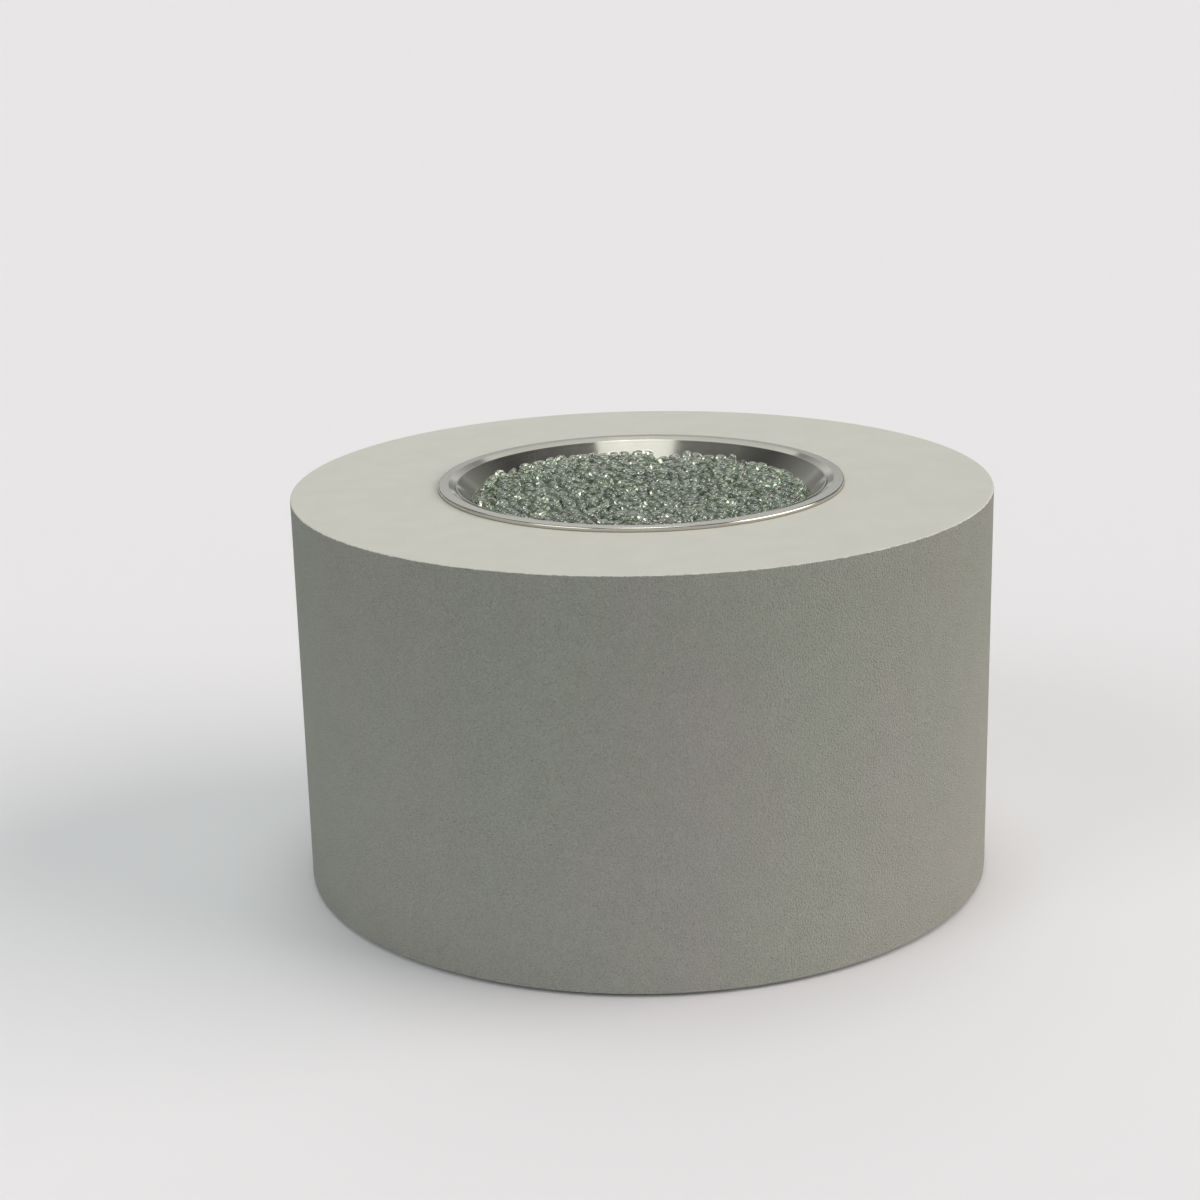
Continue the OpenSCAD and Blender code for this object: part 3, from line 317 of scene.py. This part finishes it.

# %% [markdown]
# ## Cast wall and cast deck
# The wall is cast with a fine orange-peel relief, a grain of two to four millimetres, in a warm grey that
# drifts a little, with painted shade in the relief's low spots and painted light on its lumps. It grows
# paler towards the floor with dust and with painted bounce light from the floor.
# The deck is the same cast stone rubbed smooth. Its pale colour is painted light from above and the wall's
# darker grey is painted shade, a lit and a shaded copy of one stone. The deck's sharp outer arris is worn,
# with nicks, and painted lighter as a highlight along the edge. The deck and wall could be two unlike
# materials, but then their joint would show as a line. So one group picks the painted pale or the painted
# grey by the way the surface faces, and both pieces use it.

# %% Mix the stone's colours
# The wall colour is painted shade and the deck colour painted light from above; the dust colour is dust
# with painted bounce light, and the worn colour is wear with a painted highlight.
cast_colours = {
    "Shaded wall colour": linear(150, 155, 144), "Drift colour": linear(153, 153, 146),
    "Dust and bounce colour": linear(178, 180, 171), "Lit deck colour": linear(204, 206, 197),
    "Worn and highlight colour": linear(215, 216, 208)}
cast_grain = 430.0
lit_deck_facing = (0.45, 0.8)
drift_stretch = (1.0, 1.0, 0.4)
drifts_per_metre = 7.0
drift_fade = (0.42, 0.66)
dust_and_bounce_top = 0.55
dust_and_bounce_most = 0.46


def stretched(tree, spot, scales):
    """A place with each of its three numbers multiplied."""
    made = add_node(tree, "ShaderNodeVectorMath", {0: spot, 1: scales}, operation="MULTIPLY")
    return made.outputs["Vector"]


def mixed(tree, share, first, second):
    """A colour between two others."""
    made = add_node(tree, "ShaderNodeMix", {0: share, 6: first, 7: second}, data_type="RGBA")
    return made.outputs[2]


cast, cast_in, cast_out = new_group(
    "cast_stone",
    [(title, COLOUR, colour) for title, colour in cast_colours.items()]
    + [("Lumps per metre", NUMBER, cast_grain)],
    [("Colour", COLOUR), ("Height", NUMBER)])
cast_place = object_place(cast)
cast_xyz = split(cast, cast_place)
facing = add_node(cast, "ShaderNodeNewGeometry").outputs["Normal"]
is_lit_top_deck = ranged(cast, split(cast, facing)["Z"], *lit_deck_facing)
drift = noise_at(cast, stretched(cast, cast_place, drift_stretch), drifts_per_metre, 2.0)
drift_share = ranged(cast, drift, *drift_fade)
shaded_wall_base = mixed(cast, drift_share, cast_in["Shaded wall colour"], cast_in["Drift colour"])
# Paler towards the floor: dust, and painted bounce light from the floor.
dust_and_bounce_share = ranged(cast, cast_xyz["Z"], 0.0, dust_and_bounce_top, dust_and_bounce_most, 0.0)
shaded_wall_base = mixed(cast, dust_and_bounce_share, shaded_wall_base, cast_in["Dust and bounce colour"])
# Upward faces take the pale colour as painted light from above, and side faces the grey as painted shade.
base = mixed(cast, is_lit_top_deck, shaded_wall_base, cast_in["Lit deck colour"])
print("group", cast.name, "with", len(cast_colours), "colours")

# %% Give the stone its relief and its painted shade
deck_relief = 0.12
relief_mean = 0.28
cavity_shade_gain = 0.45
blotch_gain = 0.10


def place_group(tree, group, values):
    """A node group placed in another graph, with its own values and links."""
    return add_node(tree, "ShaderNodeGroup", values, node_tree=group).outputs


cast_skin = place_group(cast, peel, {"Lumps per metre": cast_in["Lumps per metre"]})
relief_share = ranged(cast, is_lit_top_deck, 0.0, 1.0, 1.0, deck_relief)
relief = maths(cast, "MULTIPLY", cast_skin["Height"], relief_share)
cast.links.new(relief, cast_out["Height"])
# Painted shade in the relief's low spots and painted light on its lumps, weaker on the deck.
cavity_shade = maths(cast, "MULTIPLY", maths(cast, "SUBTRACT", relief, relief_mean), relief_share)
cavity_shade_swing = maths(cast, "MULTIPLY", cavity_shade, cavity_shade_gain)
blotch = maths(cast, "SUBTRACT", cast_skin["Blotch"], 0.5)
blotch_swing = maths(cast, "MULTIPLY", blotch, blotch_gain)
swing = maths(cast, "ADD", cavity_shade_swing, blotch_swing)
base = brightened(cast, base, maths(cast, "ADD", swing, 1.0))
print("the deck keeps", deck_relief, "of the wall's relief")

# %% Wear the deck's arris and paint its highlight
deck_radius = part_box("top_deck")[1].x
nicks_per_metre = 120.0
nick_fade = (0.35, 0.7)
wear_and_highlight_least, wear_and_highlight_most = 0.0003, 0.0017
wear_and_highlight_fade = 0.0005


def from_table_axis(tree, xyz):
    """How far a place lies from the table's upright axis."""
    flat = add_node(tree, "ShaderNodeCombineXYZ", {"X": xyz["X"], "Y": xyz["Y"]}).outputs["Vector"]
    return add_node(tree, "ShaderNodeVectorMath", {0: flat}, operation="LENGTH").outputs["Value"]


inward = maths(cast, "SUBTRACT", deck_radius, from_table_axis(cast, cast_xyz))
downward = maths(cast, "SUBTRACT", DECK_Z, cast_xyz["Z"])
nicks = noise_at(cast, cast_place, nicks_per_metre, 4.0)
wear_and_highlight_reach = ranged(cast, nicks, *nick_fade, wear_and_highlight_least, wear_and_highlight_most)
# The arris band is worn with nicks and painted lighter as a highlight along the edge.
into_arris_band = maths(cast, "SUBTRACT", wear_and_highlight_reach, maths(cast, "MAXIMUM", inward, downward))
is_worn_and_highlit = ranged(cast, into_arris_band, -wear_and_highlight_fade, wear_and_highlight_fade)
cast.links.new(mixed(cast, is_worn_and_highlit, base, cast_in["Worn and highlight colour"]), cast_out["Colour"])
print("arris worn up to", wear_and_highlight_most, "m")

# %% Make the cast finishes
cast_relief = 0.0036
finishes = {}


def new_finish(slot, **constants):
    """A material for one slot of the record, with the shader's plain values set on its own sockets."""
    material = bpy.data.materials.new(slot + "_finish")
    material.use_nodes = True
    shader = material.node_tree.nodes["Principled BSDF"]
    for name, value in constants.items():
        shader.inputs[name.replace("_", " ")].default_value = value
    finishes[slot] = material
    print("finish", material.name)
    return material.node_tree, shader


def bump(tree, shader, height, depth):
    """Feeds a height to the shader's normal, as a relief of so many metres."""
    made = add_node(tree, "ShaderNodeBump", {"Height": height, "Distance": depth, "Strength": 1.0})
    tree.links.new(made.outputs["Normal"], shader.inputs["Normal"])


for slot in ("cast_wall", "cast_top"):
    tree, shader = new_finish(slot, Roughness=0.88, Specular_IOR_Level=0.25)
    stone = place_group(tree, cast, {**cast_colours, "Lumps per metre": cast_grain})
    tree.links.new(stone["Colour"], shader.inputs["Base Color"])
    bump(tree, shader, stone["Height"], cast_relief)

# %% [markdown]
# ## Metals
# The pan is spun from sheet steel, so its fine lines run in rings round the axis and stretch each highlight
# across them. Plates, hinges and grilles are brushed along their length, nuts and bolts are zinc plated,
# and the gas fittings are turned brass. A picture of brushed steel could be wrapped round each piece.
# Lines drawn from the piece's own coordinates need no picture and fit any shape.

# %% Make the metal finishes
line_depth = 0.000008


def metal(slot, colour, roughness, contrast, line_scale, spun=False, stretch=0.0):
    """A bare metal whose lines follow three scales per metre, or rings round the table's axis."""
    tree, shader = new_finish(slot, Metallic=1.0, Anisotropic=stretch, Anisotropic_Rotation=0.25)
    spot = object_place(tree)
    if spun:
        xyz = split(tree, spot)
        ring = from_table_axis(tree, xyz)
        spot = add_node(tree, "ShaderNodeCombineXYZ", {"X": ring, "Y": xyz["Z"]}).outputs["Vector"]
    brushed = place_group(
        tree, lines,
        {"Line place": stretched(tree, spot, line_scale), "Colour": colour, "Roughness": roughness,
         "Contrast": contrast})
    tree.links.new(brushed["Colour"], shader.inputs["Base Color"])
    tree.links.new(brushed["Roughness"], shader.inputs["Roughness"])
    bump(tree, shader, brushed["Height"], line_depth)


metal("spun_steel", linear(201, 200, 190), 0.13, 0.22, (900, 900, 1), spun=True, stretch=0.3)
metal("stainless", linear(195, 195, 187), 0.32, 0.35, (30, 30, 1100))
metal("zinc_steel", linear(176, 178, 178), 0.42, 0.25, (260, 260, 260))
metal("brass", linear(196, 158, 86), 0.30, 0.30, (60, 60, 900))
metal("aluminium_tube", linear(196, 197, 198), 0.34, 0.25, (420, 420, 420))

# %% [markdown]
# ## Paint, rubber, tape, plastic, sleeve and ceramic
# These are smooth to the eye, but each has a faint skin: powder coat is pebbled, rubber is matt and dusty,
# the gasket under the pan is a tan tape, moulded plastic has a fine grain, and glazed ceramic is almost
# even. One flat colour would look like a toy, so each takes the orange-peel group at its own size.

# %% Make the skinned finishes
skin_pits = 0.4
skin_patch = 0.06
skin_fade = (0.3, 0.7)


def skin(slot, colour, roughness, lumps_per_metre, depth, swing, coat=0.0):
    """A plain coloured finish with a pebbled skin, a little unevenness and a coat if it is glazed."""
    tree, shader = new_finish(slot, Coat_Weight=coat, Coat_Roughness=0.12)
    pebbled = place_group(tree, peel, {"Lumps per metre": lumps_per_metre, "Pits": skin_pits})
    gain = ranged(tree, pebbled["Blotch"], *skin_fade, 1.0 - swing, 1.0 + swing)
    uneven = brightened(tree, colour[:3], gain)
    tree.links.new(uneven, shader.inputs["Base Color"])
    patchy = ranged(tree, pebbled["Blotch"], *skin_fade, roughness - skin_patch, roughness + skin_patch)
    tree.links.new(patchy, shader.inputs["Roughness"])
    bump(tree, shader, pebbled["Height"], depth)
    return tree, shader, uneven


black_plastic = (linear(38, 38, 39), 0.42, 1500, 0.00005, 0.10)
skin("frame_paint", linear(46, 46, 48), 0.48, 520, 0.00018, 0.12)
skin("rubber", linear(40, 39, 38), 0.78, 900, 0.00010, 0.18)
skin("gasket_tape", linear(142, 129, 113), 0.85, 700, 0.00010, 0.15)
skin("knob_plastic", *black_plastic)
skin("button_plastic", linear(164, 38, 30), 0.28, 900, 0.00003, 0.08, coat=0.4)
skin("silicone", linear(122, 121, 118), 0.60, 800, 0.00006, 0.12)
skin("ceramic", linear(236, 233, 224), 0.30, 400, 0.00004, 0.05, coat=0.6)

# %% [markdown]
# ## The knob's index line
# A raised rib on the knob's face shows how far it is turned, and its crest is painted white, or it would be
# black on black. A strip of mesh could be laid on it, but the paint only has to know how far out a point
# lies along the knob's axis. That distance is taken from the knob itself, so the line turns with it.

# %% Paint the rib
control_turn = math.radians(52)
knob_axis = Vector((math.sin(control_turn), math.cos(control_turn), 0))
knob_tip = max(point.co.dot(knob_axis) for point in nodes["control_knob"].data.vertices)
paint_depth = 0.0006
paint_fade = 0.0001
paint_from = knob_tip - paint_depth
dial_tree, dial_shader, dial_plastic = skin("knob_dial", *black_plastic)
dial_reach = along_way(dial_tree, object_place(dial_tree), knob_axis)
is_painted = ranged(dial_tree, dial_reach, paint_from, paint_from + paint_fade)
dial_colour = mixed(dial_tree, is_painted, dial_plastic, linear(226, 225, 220))
dial_tree.links.new(dial_colour, dial_shader.inputs["Base Color"])
print("knob reaches", round(knob_tip, 4), "from the table's axis")

# %% [markdown]
# ## Finishes on the CAD pieces
# The record says which slot each piece takes its finish from, so the finishes could be put on by hand
# or by that list. The list is used, because then no piece is forgotten. Four pieces have a finish of their
# own: the two that were spun take rings, the gasket is tape, and the knob has its painted line.

# %% Put the finishes on
own_finishes = {
    "burner_pan": "spun_steel", "heat_shield": "spun_steel", "pan_gasket": "gasket_tape",
    "control_knob": "knob_dial"}
for part in frame["record"]["subparts"]:
    piece = nodes[part["node"]]
    slot = own_finishes.get(part["node"], part["material_slot"])
    if slot in finishes:
        piece.data.materials.clear()
        piece.data.materials.append(finishes[slot])
print("finished pieces:", sum(1 for o in nodes.values() if o.data.materials[0] in finishes.values()))

# %% [markdown]
# ## The bead bed
# Under the beads that show lie more beads, which the eye sees only as dark and green patches in the gaps.
# They could all be modelled, but most would never be seen. So the lower layers are one lumpy solid that
# fills the pan round the burner, with a patchy glassy finish whose green is the glass and whose dark
# patches are painted shade of the deep gaps, and the beads that show sit in its top.

# %% Draw the bed's profile
dish_lip_radius = 0.2811
dish_lip_z = 0.6090
dish_slope = math.radians(42)
bed_edge_z = 0.5770
bed_side_heights = (0.5560, 0.5450)
bed_wall_gap = 0.0010
bed_rings = 60
fillet_top = (0.1960, 0.5400)
fillet_foot_radius = 0.1860
pan_floor_z = 0.5370
burner_clear_radius = 0.1500
burner_clear_z = 0.5726
underside_ring_radius = 0.0600


def dish_radius(z):
    """The dish wall's inside radius at a height."""
    return dish_lip_radius - (dish_lip_z - z) / math.tan(dish_slope)


bed_edge_radius = dish_radius(bed_edge_z) - bed_wall_gap
bed_profile = [(bed_edge_radius * i / bed_rings, None) for i in range(1, bed_rings + 1)]
bed_profile += [(dish_radius(z) - bed_wall_gap, z) for z in bed_side_heights]
bed_profile += [
    fillet_top, (fillet_foot_radius, pan_floor_z), (burner_clear_radius, pan_floor_z),
    (burner_clear_radius, burner_clear_z), (underside_ring_radius, burner_clear_z)]
print("bed edge radius", round(bed_edge_radius, 4))

# %% Turn the bed
bed_rise = 0.0040
bed_steps = 200
bed_lump = 0.0150
bed_lump_height = 0.0020
lump_seed = 0.3
lump_fade = 8


def bed_top(x, y):
    """The bed's upper face: a low heap with bead-sized lumps that die out at the dish."""
    out = math.hypot(x, y) / bed_edge_radius
    swell = noise.noise(Vector((x, y, lump_seed)) / bed_lump)
    lump = swell * bed_lump_height * min(1.0, lump_fade * (1 - out))
    return bed_edge_z + bed_rise * (1 - out) + lump


bed_points = [(0.0, 0.0, bed_top(0.0, 0.0))]
for radius, z in bed_profile:
    for k in range(bed_steps):
        x = radius * math.cos(2 * math.pi * k / bed_steps)
        y = radius * math.sin(2 * math.pi * k / bed_steps)
        bed_points.append((x, y, bed_top(x, y) if z is None else z))
bed_points.append((0.0, 0.0, burner_clear_z))
last_point = len(bed_points) - 1
last_ring = 1 + (len(bed_profile) - 1) * bed_steps
bed_faces = [(0, 1 + k, 1 + (k + 1) % bed_steps) for k in range(bed_steps)]
for i in range(len(bed_profile) - 1):
    start = 1 + i * bed_steps
    for k in range(bed_steps):
        after = (k + 1) % bed_steps
        bed_faces.append((start + k, start + bed_steps + k, start + bed_steps + after, start + after))
bed_faces += [(last_point, last_ring + (k + 1) % bed_steps, last_ring + k) for k in range(bed_steps)]
print("bed points", len(bed_points))

# %% Tint the glass, paint the deep shade and place the bed
def tinted_glass(slot, tints_per_metre, fade, first, last, **constants):
    """Glass whose colour drifts between two colours from one bead to the next: a green tint, with painted
    shade at the dark end of the deep glass.
    """
    tree, shader = new_finish(slot, **constants)
    drift = noise_at(tree, object_place(tree), tints_per_metre, 1.0)
    tint = mixed(tree, ranged(tree, drift, *fade), first, last)
    tree.links.new(tint, shader.inputs["Base Color"])


def new_piece(name, points, faces, material):
    """A smooth mesh piece that rides on the table."""
    mesh = bpy.data.meshes.new(name)
    mesh.from_pydata(points, [], faces)
    mesh.validate()
    mesh.shade_smooth()
    mesh.materials.append(material)
    piece = bpy.data.objects.new(name, mesh)
    bpy.context.scene.collection.objects.link(piece)
    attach(piece, "table")
    print(name, "has", len(mesh.polygons), "faces")
    return piece


# The deep glass's dark colour is painted shade of the gaps deep in the heap, and its pale colour the green
# glass.
tinted_glass(
    "deep_glass", 60.0, (0.32, 0.68), linear(32, 46, 31), linear(144, 161, 134),
    Roughness=0.22, Coat_Weight=0.7, Coat_Roughness=0.05)
bead_bed = new_piece("bead_bed", bed_points, bed_faces, finishes["deep_glass"])
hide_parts("glass_bed")

# %% [markdown]
# ## The beads
# The beads are clear glass drops with a faint green, faintly milky body, tumbled smooth, a little flat and
# all unlike, about three-quarters of an inch across. Copies of one ball would look like a toy, and letting
# a thousand beads fall by physics is slow. So points are pushed apart until they fit like beads, and each
# gets a drop of its own shape. Clear drops lie on a layer of opaque ones, tinted between green glass and
# painted shade, which show between them.

# %% Spread the points
bead_draw = np.random.default_rng(1187)
heap_edge_top = 0.6005
heap_waist = 0.008
heap_margin = 0.0130
heap_reach = dish_radius(heap_edge_top - heap_waist) - heap_margin
push_share = 0.35
least_radius = 1e-9


def spread_points(count, reach, gap, rounds=90):
    """Points in a disc, pushed apart until few are closer than the gap."""
    radius = reach * np.sqrt(bead_draw.random(count))
    angle = bead_draw.random(count) * 2 * math.pi
    points = np.stack((radius * np.cos(angle), radius * np.sin(angle)), 1)
    for _ in range(rounds):
        offset = points[:, None] - points[None]
        distance = np.sqrt((offset ** 2).sum(2)) + np.eye(count)
        push = np.clip(gap - distance, 0, None) * (1 - np.eye(count))
        points += push_share * (offset / distance[..., None] * push[..., None]).sum(1)
        radius = np.sqrt((points ** 2).sum(1))
        points *= np.minimum(1.0, reach / np.maximum(radius, least_radius))[:, None]
    return points


print("beads lie within", round(heap_reach, 4), "of the axis")

# %% Shape the drops
drop_detail = 3
drop_sides = (0.88, 1.12)
drop_height = (0.54, 0.78)
drop_waves = (2.2, 3.4)
wave_depth = 0.055
whole_turn = 6.28
usual_tilt = math.radians(30)


def turned(axis_x, axis_y, angle):
    """Rotation matrices about axes in the level plane."""
    c, s = np.cos(angle), np.sin(angle)
    zero = np.zeros_like(c)
    rows = [[c + axis_x ** 2 * (1 - c), axis_x * axis_y * (1 - c), axis_y * s],
            [axis_x * axis_y * (1 - c), c + axis_y ** 2 * (1 - c), -axis_x * s],
            [-axis_y * s, axis_x * s, c + zero]]
    return np.stack([np.stack(row, -1) for row in rows], -2)


def drop_shapes(places, half_width):
    """All the beads of one layer as points and faces, each drop flattened, tilted and uneven."""
    ball = bmesh.new()
    bmesh.ops.create_icosphere(ball, subdivisions=drop_detail, radius=1.0)
    unit = np.array([v.co for v in ball.verts])
    sides = np.array([[v.index for v in f.verts] for f in ball.faces])
    ball.free()
    count = len(places)
    squash = np.stack(
        [bead_draw.uniform(*limits, count) for limits in (drop_sides, drop_sides, drop_height)], 1)
    points = unit[None] * (half_width[:, None] * squash)[:, None]
    for wave in drop_waves:
        way = bead_draw.normal(size=(count, 3))
        way /= np.linalg.norm(way, axis=1)[:, None]
        phase = bead_draw.uniform(0, whole_turn, (count, 1))
        points *= (1 + wave_depth * np.sin(wave * (unit @ way.T).T + phase))[..., None]
    lean = bead_draw.uniform(0, whole_turn, count)
    tilt = np.abs(bead_draw.normal(0, usual_tilt, count))
    points = np.einsum("nij,nkj->nki", turned(np.cos(lean), np.sin(lean), tilt), points)
    points += places[:, None]
    faces = (sides[None] + (np.arange(count) * len(unit))[:, None, None]).reshape(-1, 3)
    return points, faces


print("drops are flattened to", drop_height, "of their width")

# %% Heap the beads
heap_rise = 0.0030
heap_lean_x = -0.0020
heap_lean_y = 0.0015
bead_half_width = (0.0084, 0.0104)
bead_sink = 0.8
bead_wall_gap = 0.0004


def bead_layer(count, gap, depth_low, depth_high):
    """One layer of beads, held inside the dish, with tops that lie some depth below the heap's own face."""
    half_width = bead_draw.uniform(*bead_half_width, count)
    places = np.zeros((count, 3))
    places[:, :2] = spread_points(count, heap_reach, gap)
    out = np.sqrt((places[:, :2] ** 2).sum(1)) / bed_edge_radius
    depth = bead_draw.uniform(depth_low, depth_high, count)
    lean = (places[:, 0] * heap_lean_x + places[:, 1] * heap_lean_y) / bed_edge_radius
    places[:, 2] = heap_edge_top + heap_rise * (1 - out) + lean - depth - half_width * bead_sink
    reach = dish_radius(places[:, 2]) - (half_width + bead_wall_gap) / math.sin(dish_slope)
    radius = np.sqrt((places[:, :2] ** 2).sum(1))
    places[:, :2] *= np.minimum(1.0, reach / np.maximum(radius, least_radius))[:, None]
    return drop_shapes(places, half_width)


tinted_glass(
    "bead_glass", 55.0, (0.3, 0.7), linear(180, 200, 175), linear(212, 226, 206),
    Roughness=0.05, IOR=1.55, Transmission_Weight=0.88, Coat_Weight=1.0, Coat_Roughness=0.03)
# The lower beads take the deep glass, tinted between green glass and painted shade.
for name, count, gap, depth_low, depth_high, finish in (
        ("beads_upper", 560, 0.0196, 0.0, 0.0038, "bead_glass"),
        ("beads_lower", 500, 0.0206, 0.0098, 0.0128, "deep_glass")):
    points, faces = bead_layer(count, gap, depth_low, depth_high)
    layer = new_piece(
        name, points.reshape(-1, 3).tolist(), faces.tolist(), finishes[finish])
    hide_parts("glass_beads")
    print(name, "top at", round(float(points[..., 2].max()), 4))

# %% [markdown]
# ## Gas tube and ignition lead
# Under the pan a bent aluminium tube feeds the burner, and a thin sleeved lead carries the spark.
# The CAD solids have twelve flat sides, which show when the door is open. A bevelled curve would do too,
# but rings of points set along the same route keep the ends square and the bends true.

# %% Write the sweep
control_height = 0.4925
tube_sides = 28
sharp_angle = math.radians(40)


def control_place(point):
    """A point of the control's own frame, carried to the table's frame."""
    x, y, z = point
    c, s = math.cos(control_turn), math.sin(control_turn)
    return Vector((x * c + y * s, y * c - x * s, control_height + z))


def sweep(name, route, radius, slot):
    """A round rod along a route, as rings that turn with it, closed at both ends."""
    way = [control_place(p) for p in route]
    points, faces = [], []
    across = Vector((math.cos(control_turn), -math.sin(control_turn), 0))
    for i, spot in enumerate(way):
        along = (way[min(i + 1, len(way) - 1)] - way[max(i - 1, 0)]).normalized()
        across = (across - along * across.dot(along)).normalized()
        beside = along.cross(across)
        for k in range(tube_sides):
            turn = 2 * math.pi * k / tube_sides
            points.append(spot + radius * (math.cos(turn) * across + math.sin(turn) * beside))
    for i in range(len(way) - 1):
        for k in range(tube_sides):
            a, b = i * tube_sides + k, i * tube_sides + (k + 1) % tube_sides
            faces.append((a, b, b + tube_sides, a + tube_sides))
    last = (len(way) - 1) * tube_sides
    faces.append(tuple(reversed(range(tube_sides))))
    faces.append(tuple(range(last, last + tube_sides)))
    rod = new_piece(name, [tuple(p) for p in points], faces, finishes[slot])
    rod.data.set_sharp_from_angle(angle=sharp_angle)
    return rod


print("rods have", tube_sides, "sides")

# %% Sweep the tube
bend_steps = 14
valve_side = -0.025
tube_start, tube_bend, tube_end = 0.46111, 0.42911, 0.1083
tube_bend_radius = 0.040
tube_radius = 0.0060


def swan(start_x, start_y, radius, shift):
    """Points of two equal and opposite bends that carry a run sideways."""
    reach = math.acos(1 - abs(shift) / 2 / radius)
    side = math.copysign(1, shift)
    angles = [reach * i / bend_steps for i in range(1, bend_steps + 1)]
    first = [(side * radius * (1 - math.cos(a)), radius * math.sin(a)) for a in angles]
    run = 2 * radius * math.sin(reach)
    second = [(shift - x, run - y) for x, y in reversed(first[:-1])] + [(shift, run)]
    return [(start_x + x, start_y - y, 0.0) for x, y in first + second]


tube_route = [(valve_side, tube_start, 0), (valve_side, tube_bend, 0)]
tube_route += swan(valve_side, tube_bend, tube_bend_radius, -valve_side)
tube_route += [(0, tube_end, 0)]
smooth_tube = sweep("smooth_gas_tube", tube_route, tube_radius, "aluminium_tube")
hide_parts("gas_tube")

# %% Sweep the lead
igniter_side, lead_side = 0.025, 0.010
lead_start, lead_bend = 0.46141, 0.45741
lead_bend_radius = 0.030
rise_start, rise_end, rise_radius = 0.140, 0.120, 0.020
lead_top = 0.0343
lead_radius = 0.0025
lead_route = [(igniter_side, lead_start, 0), (igniter_side, lead_bend, 0)]
lead_route += swan(igniter_side, lead_bend, lead_bend_radius, lead_side - igniter_side)
rise_angles = [math.pi / 2 * i / bend_steps for i in range(bend_steps + 1)]
lead_route += [
    (lead_side, rise_start - rise_radius * math.sin(a), rise_radius * (1 - math.cos(a)))
    for a in rise_angles]
lead_route += [(lead_side, rise_end, lead_top)]
smooth_lead = sweep("smooth_ignition_lead", lead_route, lead_radius, "silicone")
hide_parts("ignition_lead")
